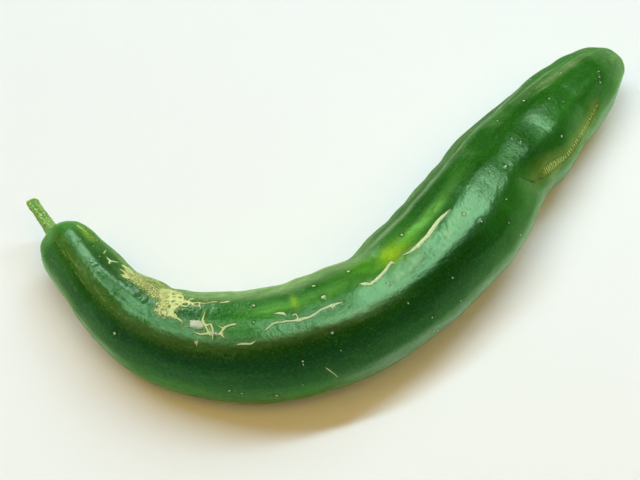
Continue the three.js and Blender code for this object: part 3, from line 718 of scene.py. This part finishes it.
# raised scars, as rounded ropes with small breaks across them
rope_round = np.sqrt(np.clip(1 - (rope_across / rope_half) ** 2, 0, 1)) * (rope_out < 0.05)
lift += 0.20 * np.clip(rope_half / 0.5, 0.3, 1.2) * rope_round * (0.85 + 0.15 * np.sin(rope_run * 5.2 + 1.3 * np.sin(rope_run * 1.7)))
lift -= 0.03 * bell(rope_out - 0.18, 0.16)
lift += 0.07 * ramp(0.2, -0.2, line_out)
lift += 0.07 * ramp(0.2, -0.2, net_out)
net_full = ramp(-0.1, 0.5, np.maximum(net_band, net_foot))
lift += net_full * (0.10 + 0.05 * waves(STRAIGHT, 1.7, 31))
lift += 0.16 * ramp(-0.1, 0.4, np.maximum(star_patch, star_body)) * (0.8 + 0.2 * waves(STRAIGHT, 1.6, 32))
lift += 0.10 * ramp(0.2, -0.3, dust_out) * (0.6 + 0.4 * waves(STRAIGHT, 1.4, 33))
lift += 0.20 * ramp(0.3, -0.2, dot_out) - 0.06 * bell(dot_out - 0.7, 0.35)
lift -= 0.16 * ramp(0.25, -0.15, crease_out) + 0.07 * ramp(0.4, -0.2, dent_out)
# the long ladder-like scar sits in a shallow furrow
lift -= 0.22 * bell(np.maximum(rung_out + 0.7, 0), 0.6)
lift += 0.05 * ramp(0.1, -0.3, rung_out) * np.sin(rung_run * 2 * math.pi / 1.35)

# ------------------------------------------------------------------ the fruit's mesh

_, UPWARD, INWARD = axis_frame(S)
R = np.maximum(base_skin(S, ANG), 0.02) + lift
POINTS = axis_point(S) + R[..., None] * (np.cos(ANG)[..., None] * INWARD + np.sin(ANG)[..., None] * UPWARD)
POINTS[..., 2] = np.maximum(POINTS[..., 2], 0.0)


def link(obj):
    bpy.context.scene.collection.objects.link(obj)
    return obj


def loft(name, rings, first, last):
    """A closed smooth mesh through rings of points, with a point at each end; the faces point outwards."""
    m, n = rings.shape[:2]
    vertices = np.concatenate([rings.reshape(-1, 3), [first, last]]) * MM
    i, j = np.meshgrid(np.arange(m - 1), np.arange(n), indexing="ij")
    k = (j + 1) % n
    quads = np.stack([i * n + j, i * n + k, (i + 1) * n + k, (i + 1) * n + j], -1).reshape(-1, 4)
    j = np.arange(n)
    k = (j + 1) % n
    caps = [(m * n, int(b), int(a)) for a, b in zip(j, k)]
    caps += [(int((m - 1) * n + a), int((m - 1) * n + b), m * n + 1) for a, b in zip(j, k)]
    mesh = bpy.data.meshes.new(name)
    mesh.from_pydata(vertices.tolist(), [], quads.tolist() + caps)
    mesh.shade_smooth()
    mesh.update()
    return link(bpy.data.objects.new(name, mesh))


def paint(obj, name, values, last=None):
    """A number, or a vector, at each point of a lofted mesh."""
    values = np.asarray(values, np.float32)
    vector = values.ndim == 3
    flat = values.reshape(-1, 3) if vector else values.reshape(-1)
    ends = np.stack([flat[: SIDES].mean(0), flat[-SIDES:].mean(0)])
    flat = np.concatenate([flat, ends])
    at = obj.data.attributes.new(name, "FLOAT_VECTOR" if vector else "FLOAT", "POINT")
    at.data.foreach_set("vector" if vector else "value", flat.ravel().astype(np.float32))


fruit = loft("fruit_skin", POINTS, axis_point(np.array(0.0)), axis_point(np.array(LENGTH)))
paint(fruit, "straight", STRAIGHT)
paint(fruit, "net", np.stack([net_across, net_half, net_out], -1))
paint(fruit, "areas", np.stack([net_band, net_foot, np.maximum(star_patch, star_body)], -1))
paint(fruit, "lines", np.stack([line_across, line_half, line_out], -1))
paint(fruit, "ropes", np.stack([rope_across, rope_half, rope_out], -1))
paint(fruit, "rungs", np.stack([rung_across, rung_half, rung_out], -1))
paint(fruit, "runs", np.stack([rung_run, rope_run, BLOOM], -1))
paint(fruit, "collar", np.stack([COLLAR, ramp(102.5, 105.5, DEG) * ramp(84, 81, S), ramp(8, 16, S)], -1))
paint(fruit, "dots", np.stack([dot_x, dot_y, dot_z], -1))
paint(fruit, "grooves", np.stack([crease_out, dent_out, faint_out], -1))
paint(fruit, "dust", dust_out)
paint(fruit, "gaps", np.stack([net_gap, net_fringe, PAINTED_OUTER_REFLECTION], -1))
paint(fruit, "tints", np.stack([OLIVE, PALE_AND_SHEEN, PAINTED_SHEEN], -1))
paint(fruit, "glows", np.stack([GOLD, LEAF, PAINTED_SHADE], -1))
paint(fruit, "ends", np.stack([FRESH, HALO, LIME], -1))


# ------------------------------------------------------------------ node helpers

class Tree:
    """Short names for building a node tree."""

    def __init__(self, owner):
        owner.use_nodes = True
        self.t = owner.node_tree
        self.t.nodes.clear()

    def node(self, kind, inputs=None, **props):
        n = self.t.nodes.new(kind)
        for k, v in props.items():
            setattr(n, k, v)
        for k, v in (inputs or {}).items():
            self.put(n.inputs[k], v)
        return n

    def put(self, socket, v):
        if isinstance(v, bpy.types.NodeSocket):
            self.t.links.new(v, socket)
        elif v is not None:
            socket.default_value = v

    def math(self, op, a, b=None, c=None, clamp=False):
        n = self.node("ShaderNodeMath", operation=op, use_clamp=clamp)
        for i, v in enumerate((a, b, c)):
            self.put(n.inputs[i], v)
        return n.outputs[0]

    def add(self, a, b): return self.math("ADD", a, b)
    def sub(self, a, b): return self.math("SUBTRACT", a, b)
    def mul(self, a, b): return self.math("MULTIPLY", a, b)
    def peak(self, a, b): return self.math("MAXIMUM", a, b)
    def least(self, a, b): return self.math("MINIMUM", a, b)
    def size(self, a): return self.math("ABSOLUTE", a)

    def step(self, x, low, high, to_low=0.0, to_high=1.0):
        """0 below low, 1 above high, smooth between."""
        n = self.node("ShaderNodeMapRange", interpolation_type="SMOOTHSTEP")
        for k, v in (("Value", x), ("From Min", low), ("From Max", high), ("To Min", to_low), ("To Max", to_high)):
            self.put(n.inputs[k], v)
        return n.outputs[0]

    def mix(self, share, a, b, blend="MIX"):
        n = self.node("ShaderNodeMix", data_type="RGBA", blend_type=blend, clamp_factor=True)
        self.put(n.inputs[0], share)
        for i, v in ((6, a), (7, b)):
            self.put(n.inputs[i], (*v, 1.0) if isinstance(v, tuple) and len(v) == 3 else v)
        return n.outputs[2]

    def blend(self, share, a, b):
        """Between two numbers."""
        n = self.node("ShaderNodeMix", data_type="FLOAT", clamp_factor=True)
        for i, v in enumerate((share, a, b)):
            self.put(n.inputs[(0, 2, 3)[i]], v)
        return n.outputs[0]

    def attribute(self, name, vector=False):
        n = self.node("ShaderNodeAttribute", attribute_name=name, attribute_type="GEOMETRY")
        return n.outputs["Vector"] if vector else n.outputs["Fac"]

    def stretch(self, vector, scale, offset=(0, 0, 0)):
        return self.node("ShaderNodeMapping", {"Vector": vector, "Scale": scale, "Location": offset}, vector_type="POINT").outputs[0]

    def noise(self, vector, scale=1.0, detail=2.0, rough=0.5, warp=0.0, color=False):
        n = self.node("ShaderNodeTexNoise", {"Vector": vector, "Scale": scale, "Detail": detail, "Roughness": rough, "Distortion": warp},
                      noise_dimensions="3D")
        return n.outputs["Color" if color else "Fac"]

    def cells(self, vector, scale=1.0, feature="F1", random=1.0):
        return self.node("ShaderNodeTexVoronoi", {"Vector": vector, "Scale": scale, "Randomness": random}, feature=feature)

    def bump(self, height, distance, strength=1.0, normal=None):
        return self.node("ShaderNodeBump", {"Height": height, "Distance": distance, "Strength": strength, "Normal": normal}).outputs[0]


# ------------------------------------------------------------------ materials

skin = bpy.data.materials.new("cucumber_skin")
n = Tree(skin)
place = n.attribute("straight", vector=True)


def parts(name):
    return n.node("ShaderNodeSeparateXYZ", {0: n.attribute(name, vector=True)}).outputs


olive, pale_and_sheen_share, painted_sheen = parts("tints")
gold, leaf, painted_shade = parts("glows")
fresh, halo, lime = parts("ends")
gap, fringe_in, painted_outer_reflection = parts("gaps")
rung_run_, rope_run_, bloom = parts("runs")
collar, patch_low, _ = parts("collar")
blotch = n.noise(n.stretch(place, (0.035, 0.08, 0.08)), 1, 3, 0.55)
mottle = n.noise(n.stretch(place, (0.16, 0.30, 0.30)), 1, 4, 0.62)
streak = n.noise(n.stretch(place, (0.10, 0.75, 0.75)), 1, 3, 0.6)
grain = n.noise(place, 1.6, 2, 0.5)
ragged = n.noise(place, 2.2, 3, 0.65)
rough_edge = n.mul(n.sub(ragged, 0.5), 0.9)

# greens
color = n.mix(n.step(blotch, 0.3, 0.7), (0.012, 0.108, 0.002), (0.022, 0.170, 0.004))
color = n.mix(n.mul(n.step(streak, 0.45, 0.75), 0.45), color, (0.038, 0.20, 0.010))
color = n.mix(n.mul(n.step(streak, 0.50, 0.25), 0.35), color, (0.006, 0.055, 0.002))


def tint(share, shade, rough=0.55):
    """Lay a colour over the skin, mottled where its share is part way."""
    global color
    loose = n.math("MULTIPLY", share, n.add(1 - rough * 0.5, n.mul(n.sub(mottle, 0.5), rough * 3.0)), clamp=True)
    color = n.mix(loose, color, shade)


# painted shade, as a darker green
tint(painted_shade, (0.009, 0.062, 0.002), 0.3)
tint(fresh, (0.036, 0.26, 0.008), 0.5)
# painted reflection and shade on the outer flank
tint(painted_outer_reflection, (0.018, 0.078, 0.024), 0.3)
tint(olive, (0.082, 0.120, 0.002), 0.5)
tint(leaf, (0.27, 0.78, 0.09), 0.6)
tint(lime, (0.11, 0.42, 0.002), 0.6)
tint(gold, (0.60, 0.90, 0.004), 0.4)
# pale patches and streaks of the skin's own, with the painted reflection on the inner flank and the painted highlight
# along the rib
tint(pale_and_sheen_share, (0.30, 0.46, 0.17), 0.6)
# painted reflection under the outer flank, and along the rib
tint(painted_sheen, (0.29, 0.41, 0.29), 0.5)
tint(halo, (0.18, 0.28, 0.010), 0.5)
# thin pale streaks run from the stalk, clearest on the shoulder and the olive band
hairs = n.noise(n.stretch(place, (0.07, 2.3, 2.3)), 1.0, 2, 0.6)
broken = n.noise(n.stretch(place, (0.30, 0.9, 0.9)), 1.0, 2, 0.6)
hair = n.mul(n.step(hairs, 0.60, 0.72), n.step(broken, 0.42, 0.62))
color = n.mix(n.mul(hair, n.add(0.10, n.mul(n.peak(olive, fresh), 0.32))), color, (0.26, 0.46, 0.10))
speckle = n.noise(place, 1.3, 3, 0.75)
color = n.mix(n.mul(n.step(speckle, 0.50, 0.68), 0.45), color, (0.050, 0.25, 0.018))
color = n.mix(n.mul(n.step(speckle, 0.50, 0.32), 0.42), color, (0.004, 0.042, 0.001))
color = n.mix(n.mul(collar, n.add(0.25, n.mul(hair, 0.5))), color, (0.16, 0.30, 0.10))
# small pale pores
pores = n.cells(n.stretch(place, (0.42, 0.5, 0.5)), 1.0)
color = n.mix(n.mul(n.step(pores.outputs["Distance"], 0.13, 0.05), 0.35), color, (0.10, 0.26, 0.06))

# cork: a net of threads, with holes where the skin shows
band_in, foot_in, star_in = parts("areas")
net_across_, net_half_, net_out_ = parts("net")
cell = n.cells(n.stretch(place, (0.95, 1.05, 1.05)), 1.0, "DISTANCE_TO_EDGE").outputs["Distance"]
small = n.cells(n.stretch(place, (2.1, 2.3, 2.3)), 1.0, "DISTANCE_TO_EDGE").outputs["Distance"]
cover = n.step(n.add(band_in, n.mul(rough_edge, 1.6)), 0.0, 0.3)
lace = n.mul(n.step(n.add(n.peak(band_in, foot_in), rough_edge), -1.1, -0.5), n.step(cell, 0.075, 0.035))
foot = n.mul(n.mul(n.step(n.add(foot_in, n.mul(rough_edge, 1.6)), 0.05, 0.35), n.blend(n.step(ragged, 0.36, 0.46), 0.45, 1.0)), n.step(n.add(gap, n.mul(rough_edge, 0.4)), -0.12, 0.12))
fibre = n.noise(n.stretch(place, (0.35, 1.6, 1.6)), 1.0, 3, 0.6)
fringe = n.mul(n.step(n.add(fringe_in, n.mul(rough_edge, 1.2)), -0.1, 0.6), n.step(fibre, 0.50, 0.60))
thread = n.step(n.add(cell, n.mul(n.sub(ragged, 0.5), 0.22)), 0.17, 0.07)
mesh_share = n.mul(cover, n.peak(thread, n.mul(n.step(ragged, 0.46, 0.56), 0.8)))
strand = n.mul(n.step(n.add(n.sub(n.size(net_across_), n.mul(net_half_, 1.15)), n.mul(rough_edge, 0.35)), 0.12, -0.12), n.step(net_out_, 0.55, 0.35))
patch = n.step(n.add(star_in, n.mul(rough_edge, 2.4)), 0.0, 0.4)
line_across_, line_half_, line_out_ = parts("lines")
thin = n.mul(n.step(n.add(n.sub(n.size(line_across_), n.mul(line_half_, 1.2)), n.mul(rough_edge, 0.3)), 0.12, -0.12), n.step(line_out_, 0.55, 0.35))
dust = n.mul(n.mul(n.step(n.add(n.mul(n.attribute("dust"), -1.0), n.mul(rough_edge, 1.6)), -0.1, 0.1), 0.9), n.step(speckle, 0.47, 0.57))
dot_len = n.node("ShaderNodeVectorMath", {0: n.attribute("dots", vector=True)}, operation="LENGTH").outputs["Value"]
dot = n.step(dot_len, 1.15, 0.75)
cork = n.peak(n.peak(n.peak(mesh_share, n.peak(foot, lace)), n.peak(strand, patch)), n.peak(n.peak(thin, dust), n.peak(dot, n.mul(fringe, 0.55))))

# the skin is darker beside the dots, lines and cork
under = n.peak(n.mul(n.step(dot_len, 4.2, 1.0), 0.55), n.mul(n.step(net_out_, 0.75, 0.1), 0.30))
under = n.peak(under, n.mul(n.step(line_out_, 0.7, 0.1), 0.35))
color = n.mix(under, color, (0.012, 0.050, 0.004))
net_floor = n.peak(n.mul(n.step(band_in, -0.3, 0.3), 0.75), n.peak(n.mul(n.step(foot_in, -0.3, 0.3), 0.55), n.mul(n.step(fringe_in, -0.8, 0.8), 0.8)))
color = n.mix(net_floor, color, (0.27, 0.29, 0.045))

cork_color = n.mix(n.step(ragged, 0.38, 0.62), (0.46, 0.44, 0.09), (0.98, 1.0, 0.40))
cork_color = n.mix(n.mul(strand, 0.8), cork_color, (0.94, 1.0, 0.40))
cork_color = n.mix(n.peak(thin, dot), cork_color, (0.86, 1.0, 0.50))
patch_color = n.mix(n.step(mottle, 0.47, 0.56), (0.92, 0.90, 0.62), (1.0, 1.0, 0.80))
patch_color = n.mix(patch_low, patch_color, (0.30, 0.46, 0.26))
cork_color = n.mix(patch, cork_color, n.mix(n.step(ragged, 0.28, 0.42), (0.50, 0.58, 0.26), patch_color))
color = n.mix(cork, color, cork_color)

# raised scars: pale green, with darker breaks across and a dark edge of painted shade on one side; fainter painted
# shade around them
rope_across_, rope_half_, rope_out_ = parts("ropes")
rope = n.mul(n.step(n.add(n.sub(n.size(rope_across_), n.mul(rope_half_, 1.08)), n.mul(rough_edge, 0.34)), 0.12, -0.10), n.step(rope_out_, 0.55, 0.35))
breaks = n.noise(n.node("ShaderNodeCombineXYZ", {0: n.mul(rope_run_, 1.5), 1: rope_across_, 2: 3.0}).outputs[0], 1.0, 2, 0.6)
rope_shade_edge = n.mul(n.step(rope_out_, 0.55, 0.12), n.step(rope_across_, 0.1, -0.2))
color = n.mix(n.mul(rope_shade_edge, 0.55), color, (0.010, 0.035, 0.004))
color = n.mix(n.mul(n.step(rope_out_, 0.6, 0.1), 0.14), color, (0.012, 0.045, 0.006))
rope_color = n.mix(n.step(breaks, 0.42, 0.66), (0.98, 1.0, 0.56), (0.60, 0.86, 0.26))
color = n.mix(rope, color, rope_color)

# the ladder: slanting pale stitches on olive
rung_across_, rung_half_, rung_out_ = parts("rungs")
bed = n.mul(n.step(n.add(rung_out_, n.mul(rough_edge, 0.5)), 0.15, -0.35), n.step(rung_out_, 0.8, 0.5))
color = n.mix(n.mul(bed, 0.85), color, (0.13, 0.19, 0.006))
slant = n.add(rung_run_, n.add(n.mul(rung_across_, 0.35), n.mul(n.sub(mottle, 0.5), 2.4)))
beat = n.add(n.math("SINE", n.mul(slant, 2 * math.pi / 1.35)), n.mul(n.math("SINE", n.add(n.mul(slant, 2 * math.pi / 0.86), n.mul(rung_across_, 2.2))), 0.6))
stitch = n.mul(n.step(n.add(beat, n.mul(n.sub(ragged, 0.5), 3.2)), 0.0, 0.6), n.step(n.sub(n.size(rung_across_), n.mul(rung_half_, 0.62)), 0.25, -0.2))
stitch = n.mul(stitch, n.step(rung_out_, 0.4, 0.0))
stitch = n.mul(stitch, n.step(rung_run_, 2.5, 7.0))
color = n.mix(n.mul(stitch, 0.9), color, (0.92, 1.0, 0.20))

# creases and small dents, with painted shade darkening them
crease, dent, faint = parts("grooves")
color = n.mix(n.mul(n.step(n.add(crease, n.mul(rough_edge, 0.3)), 0.25, -0.15), 0.85), color, (0.020, 0.040, 0.002))
color = n.mix(n.mul(n.step(dent, 0.35, -0.1), 0.25), color, (0.008, 0.060, 0.006))
color = n.mix(n.mul(n.step(n.add(faint, n.mul(rough_edge, 0.5)), 0.15, -0.1), n.mul(n.step(broken, 0.40, 0.58), 0.55)), color, (0.27, 0.44, 0.08))

matt = n.peak(n.peak(cork, n.mul(rope, 0.7)), n.mul(bed, 0.6))
skin_rough = n.add(n.add(0.14, n.mul(mottle, 0.12)), n.add(n.mul(n.peak(n.mul(olive, 0.5), bloom), 0.24), n.mul(n.step(speckle, 0.45, 0.65), 0.05)))
roughness = n.blend(matt, skin_rough, 0.55)
bsdf = n.node("ShaderNodeBsdfPrincipled", {"Base Color": color, "Roughness": roughness, "IOR": 1.45, "Specular Tint": (0.50, 1.0, 0.60, 1.0)})
height = n.add(n.mul(grain, 0.5), n.mul(n.noise(place, 0.6, 3), 1.2))
height = n.add(height, n.mul(n.mul(matt, ragged), 2.6))
height = n.add(height, n.mul(n.add(stitch, n.mul(strand, 0.8)), 1.3))
height = n.add(height, n.mul(n.mul(mesh_share, n.step(small, 0.0, 0.25)), 1.0))
n.put(bsdf.inputs["Normal"], n.bump(height, 0.00012, 1.0))
n.node("ShaderNodeOutputMaterial", {"Surface": bsdf.outputs[0]})
fruit.data.materials.append(skin)

# ------------------------------------------------------------------ the stalk

STALK_AXIS = np.array([[-115.75, 49.75, 17.85], [-113.6, 43.4, 16.45], [-111.55, 37.33, 15.1], [-110.3, 33.6, 14.35]])


def curve_points(control, count):
    """A smooth curve through a few points, evenly spaced, with its tangents."""
    c = np.array(control, float)
    t = np.concatenate([[0], np.cumsum(np.linalg.norm(np.diff(c, axis=0), axis=1))])
    q = np.linspace(0, t[-1], 400)
    p = np.stack([smooth_through(t, c[:, k], q) for k in range(3)], -1)
    d = np.concatenate([[0], np.cumsum(np.linalg.norm(np.diff(p, axis=0), axis=1))])
    want = count if isinstance(count, np.ndarray) else np.linspace(0, d[-1], count)
    at = np.stack([np.interp(want, d, p[:, k]) for k in range(3)], -1)
    tan = np.stack([np.gradient(at[:, k], want) for k in range(3)], -1)
    return at, tan / np.linalg.norm(tan, axis=1, keepdims=True), want


STALK_T = np.concatenate([np.linspace(0.0, 0.5, 7)[1:], np.linspace(0.5, 15.8, 130)[1:]])
centres, tangents, _ = curve_points(STALK_AXIS, STALK_T)
stalk_up = np.array([0, 0, 1.0]) - tangents * tangents[:, 2:3]
stalk_up /= np.linalg.norm(stalk_up, axis=1, keepdims=True)
stalk_side = np.cross(stalk_up, tangents)
T, A = np.meshgrid(STALK_T, np.arange(90) * 2 * math.pi / 90, indexing="ij")
sr = np.interp(T, [0, 0.12, 0.35, 0.8, 1.4, 4, 7.5, 10, 11.8, 13.2, 14.4, 15.8], [1.6, 1.85, 2.0, 2.08, 2.06, 1.95, 2.05, 2.15, 2.26, 2.40, 2.56, 2.8])
tw = A + 0.03 * T
sr = sr + 0.13 * np.cos(5 * tw) + 0.05 * np.cos(10 * tw + 1)
sp = np.stack([T, sr * np.cos(A), sr * np.sin(A)], -1)
sr += 0.06 * waves(sp, 1.6, 21, (2, 1, 1)) * ramp(0.2, 1.5, T)
slant = 0.5 * (1 - ramp(0, 3, T))
ring = centres[:, None] + sr[..., None] * (np.cos(A)[..., None] * stalk_side[:, None] + np.sin(A)[..., None] * stalk_up[:, None]) \
    + (slant * np.cos(A - 1))[..., None] * tangents[:, None]
stalk = loft("stalk_skin", ring[:, ::1], centres[0] - tangents[0] * -0.05, centres[-1] + tangents[-1] * 0.3)
at = stalk.data.attributes.new("straight", "FLOAT_VECTOR", "POINT")
at.data.foreach_set("vector", np.concatenate([sp.reshape(-1, 3), [[0, 0, 0], [15, 0, 0]]]).astype(np.float32).ravel())

stem = bpy.data.materials.new("cucumber_stalk")
n = Tree(stem)
place = n.attribute("straight", vector=True)
tone = n.noise(n.stretch(place, (0.18, 0.8, 0.8)), 1.0, 3, 0.6)
fibre = n.noise(n.stretch(place, (0.5, 4.0, 4.0)), 1.0, 3, 0.6)
fleck = n.noise(n.stretch(place, (1.1, 2.4, 2.4)), 1.0, 3, 0.65)
color = n.mix(n.step(tone, 0.35, 0.65), (0.13, 0.34, 0.018), (0.28, 0.54, 0.040))
color = n.mix(n.mul(n.step(fibre, 0.55, 0.35), 0.6), color, (0.045, 0.15, 0.010))
color = n.mix(n.mul(n.step(fleck, 0.54, 0.62), 0.9), color, (0.72, 0.88, 0.26))
xyz = n.node("ShaderNodeSeparateXYZ", {0: place}).outputs
# the cut end: fresher, with a darker rim and a pithy middle
end = n.step(xyz[0], 1.0, 0.3)
from_middle = n.math("SQRT", n.add(n.mul(xyz[1], xyz[1]), n.mul(xyz[2], xyz[2])))
color = n.mix(n.mul(end, 0.75), color, (0.42, 0.66, 0.05))
face = n.step(xyz[0], 0.22, 0.05)
pith = n.mix(n.step(from_middle, 1.0, 1.6), (0.46, 0.66, 0.10), (0.24, 0.44, 0.04))
color = n.mix(face, color, pith)
# paler where it widens into the fruit
color = n.mix(n.mul(n.step(xyz[0], 10.5, 14.0), 0.6), color, (0.22, 0.42, 0.10))
bsdf = n.node("ShaderNodeBsdfPrincipled", {"Base Color": color, "Roughness": n.blend(fleck, 0.5, 0.62), "IOR": 1.45, "Specular Tint": (0.8, 1.0, 0.7, 1.0)})
n.put(bsdf.inputs["Normal"], n.bump(n.add(n.mul(fleck, 0.6), n.mul(fibre, 0.8)), 0.00022, 1.0))
n.node("ShaderNodeOutputMaterial", {"Surface": bsdf.outputs[0]})
stalk.data.materials.append(stem)

# ------------------------------------------------------------------ floor and light

half = 4.0
floor_mesh = bpy.data.meshes.new("floor")
ringn = 48
fv, ff = [(0.0, 0.0, 0.0)], []
for i, r in enumerate((0.25, 0.5, 1.0, 2.0, half)):
    for k in range(ringn):
        fv.append((r * math.cos(2 * math.pi * k / ringn), r * math.sin(2 * math.pi * k / ringn), 0.0))
for k in range(ringn):
    a, b = 1 + k, 1 + (k + 1) % ringn
    ff.append((0, a, b))
    for i in range(4):
        ff.append((a + i * ringn, a + (i + 1) * ringn, b + (i + 1) * ringn, b + i * ringn))
floor_mesh.from_pydata(fv, [], ff)
floor = link(bpy.data.objects.new("floor", floor_mesh))
floor.location.z = -0.0002
pale = bpy.data.materials.new("pale_floor")
n = Tree(pale)
where = n.node("ShaderNodeTexCoord").outputs["Object"]
far = n.step(n.node("ShaderNodeVectorMath", {0: where}, operation="LENGTH").outputs["Value"], 0.45, 1.3)
seen_in_gloss = n.node("ShaderNodeLightPath").outputs["Is Glossy Ray"]
# the gloss shows a dimmer floor behind the straight part, which gives its far edge a dark rim
spread = n.node("ShaderNodeSeparateXYZ", {0: where}).outputs
far_side = n.mul(n.step(n.sub(spread[1], n.mul(spread[0], 0.65)), -0.014, 0.006), n.step(spread[0], -0.030, 0.0))
in_gloss = n.mix(far_side, (0.50, 0.74, 0.36), (0.20, 0.30, 0.17))
matte = n.node("ShaderNodeBsdfDiffuse", {"Color": n.mix(seen_in_gloss, (0.84, 0.84, 0.84), in_gloss), "Roughness": 0.3})
glow = n.node("ShaderNodeEmission", {"Color": (0.90, 0.935, 0.90, 1.0), "Strength": 1.0})
both = n.node("ShaderNodeMixShader", {0: far, 1: matte.outputs[0], 2: glow.outputs[0]})
n.node("ShaderNodeOutputMaterial", {"Surface": both.outputs[0]})
floor_mesh.materials.append(pale)


def lamp(name, direction, distance, size, power, color=(1, 1, 1), diffuse=True, glossy=True, shadow=True, only=None, aim=(0, 0, 0.02)):
    """A soft rectangular light, looking at the fruit. Power is the light it gives to the fruit's place, in W/m2."""
    data = bpy.data.lights.new(name, "AREA")
    data.shape, data.size, data.size_y = "RECTANGLE", size[0], size[1]
    d = Vector(direction).normalized()
    data.energy = power * math.pi * distance * distance
    data.color = color
    data.use_shadow = shadow
    obj = link(bpy.data.objects.new(name, data))
    obj.location = Vector(aim) + d * distance
    z = d
    x = Vector((1, 0, 0)) if abs(z.x) < 0.9 else Vector((0, 1, 0))
    y = z.cross(x).normalized()
    x = y.cross(z).normalized()
    obj.matrix_world = Matrix.Translation(obj.location) @ Matrix((x, y, z)).transposed().to_4x4()
    obj.visible_diffuse, obj.visible_glossy = diffuse, glossy
    obj.visible_camera = False
    if only is not None:
        group = bpy.data.collections.new(name + "_only")
        for o in only:
            group.objects.link(o)
        obj.light_linking.receiver_collection = group
    return obj


# the floor's own light, which gives the shadow, and a warm light that fills it
lamp("floor_key", (0.05, 0.24, 0.97), 1.2, (1.7, 0.10), 3.20, (0.622, 0.84, 1.0), glossy=False, only=[floor])
lamp("floor_warm", (0.1, -0.5, 0.86), 1.5, (0.8, 0.8), 0.88, (1.0, 0.593, 0.097), glossy=False, shadow=False, only=[floor])
lamp("floor_warm_left", (-0.50, -0.15, 0.85), 1.5, (0.7, 0.7), 0.63, (1.0, 0.593, 0.097), glossy=False, only=[floor])
lamp("floor_cool_right", (0.55, 0.42, 0.72), 1.5, (0.6, 0.6), 0.60, (0.622, 0.84, 1.0), glossy=False, only=[floor])
lamp("floor_fill_right", (0, 0, 1), 0.15, (0.08, 0.08), 0.22, (0.45, 0.75, 0.9), glossy=False, shadow=False, only=[floor], aim=(0.072, 0.002, 0))
# the lights that the skin's colour shows by
lamp("high_back", (0.0, 0.88, 0.50), 1.5, (1.2, 0.8), 2.1, (0.96, 1.0, 0.98), glossy=False, only=[fruit, stalk])
lamp("side_right", (0.83, 0.10, 0.55), 1.5, (0.8, 0.8), 0.9, (0.96, 1.0, 0.98), glossy=False, only=[fruit, stalk])
lamp("side_left", (-0.83, 0.10, 0.55), 1.5, (0.8, 0.8), 0.7, (0.96, 1.0, 0.98), glossy=False, only=[fruit, stalk])
# the soft boxes that the gloss shows
WHITE = (0.97, 1.0, 1.0)
# one wide soft ceiling of light, in panels: azimuth, elevation, power
for i, (az, el, power) in enumerate([
        (324, 66, 0.70), (26, 54, 0.72), (36, 66, 0.68), (0, 54, 0.55), (288, 78, 0.63), (0, 66, 0.68),
        (154, 54, 0.23), (180, 54, 0.27), (144, 78, 0.16), (40, 42, 0.20), (20, 42, 0.18), (51, 54, 0.08),
        (0, 90, 0.32), (80, 42, 0.08), (252, 66, 0.04), (309, 54, 0.09), (340, 42, 0.09), (36, 54, 0.16),
        (54, 66, 0.08), (108, 66, 0.06), (126, 78, 0.34), (162, 54, 0.50), (198, 54, 0.31), (216, 54, 0.14),
        (252, 78, 0.10), (270, 78, 0.09), (306, 66, 0.04), (306, 78, 0.16), (324, 78, 0.17), (342, 54, 0.21),
        (342, 78, 0.10),
]):
    az, el = math.radians(az), math.radians(el)
    lamp("panel_%02d" % i, (math.cos(el) * math.cos(az), math.cos(el) * math.sin(az), math.sin(el)), 1.2, (0.34, 0.34), power,
         WHITE, diffuse=False)
# small panels close to the stalk end: azimuth, elevation, power, and the place they look at
for i, (az, el, power, *aim) in enumerate([
        (114, 47, 0.21, -0.092, -0.010, 0.029), (138, 54, 0.19, -0.105, 0.018, 0.026),
        (98, 75, 0.18, -0.110, 0.034, 0.022), (90, 33, 0.20, -0.099, 0.002, 0.027),
        (106, 54, 0.14, -0.099, 0.002, 0.027), (122, 40, 0.03, -0.092, -0.010, 0.029),
        (98, 33, 0.04, -0.105, 0.018, 0.026), (106, 40, 0.05, -0.099, 0.002, 0.027),
        (114, 61, 0.16, -0.099, 0.002, 0.027), (130, 54, 0.22, -0.092, -0.010, 0.029),
        (90, 75, 0.02, -0.092, -0.010, 0.029), (106, 40, 0.07, -0.110, 0.034, 0.022),
        (82, 33, 0.22, -0.105, 0.018, 0.026), (90, 75, 0.07, -0.099, 0.002, 0.027),
        (66, 26, 0.05, -0.110, 0.034, 0.022), (114, 40, 0.15, -0.092, -0.010, 0.029),
        (82, 40, 0.17, -0.110, 0.034, 0.022),
]):
    az, el = math.radians(az), math.radians(el)
    lamp("close_%02d" % i, (math.cos(el) * math.cos(az), math.cos(el) * math.sin(az), math.sin(el)), 0.20, (0.03, 0.03), power,
         WHITE, diffuse=False, aim=aim)

world = bpy.data.worlds.new("room")
bpy.context.scene.world = world
n = Tree(world)
way = n.node("ShaderNodeTexCoord").outputs["Generated"]
xyz = n.node("ShaderNodeSeparateXYZ", {0: way}).outputs
behind = n.step(xyz[1], -0.3, 0.9)
low = n.step(xyz[2], 0.25, 0.02)
edge = n.mix(behind, (0.10, 0.14, 0.12), (0.9, 1.1, 0.7))
room = n.mix(low, (0.010, 0.012, 0.012), edge)
path = n.node("ShaderNodeLightPath").outputs
calm = n.mix(path["Is Glossy Ray"], (0.16, 0.18, 0.17), room)
tone = n.mix(path["Is Camera Ray"], calm, (0.90, 0.935, 0.90))
n.node("ShaderNodeOutputWorld", {"Surface": n.node("ShaderNodeBackground", {"Color": tone}).outputs[0]})

bpy.context.scene.view_settings.view_transform = "Standard"
bpy.context.scene.view_settings.look = "None"
bpy.context.scene.view_settings.exposure = 0.0
bpy.context.scene.view_settings.gamma = 1.0

# ------------------------------------------------------------------ rides

for piece, node, slot in ((fruit, "fruit", "cucumber_skin"), (stalk, "stalk", "cucumber_stalk")):
    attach(piece, "root")
    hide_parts(node)
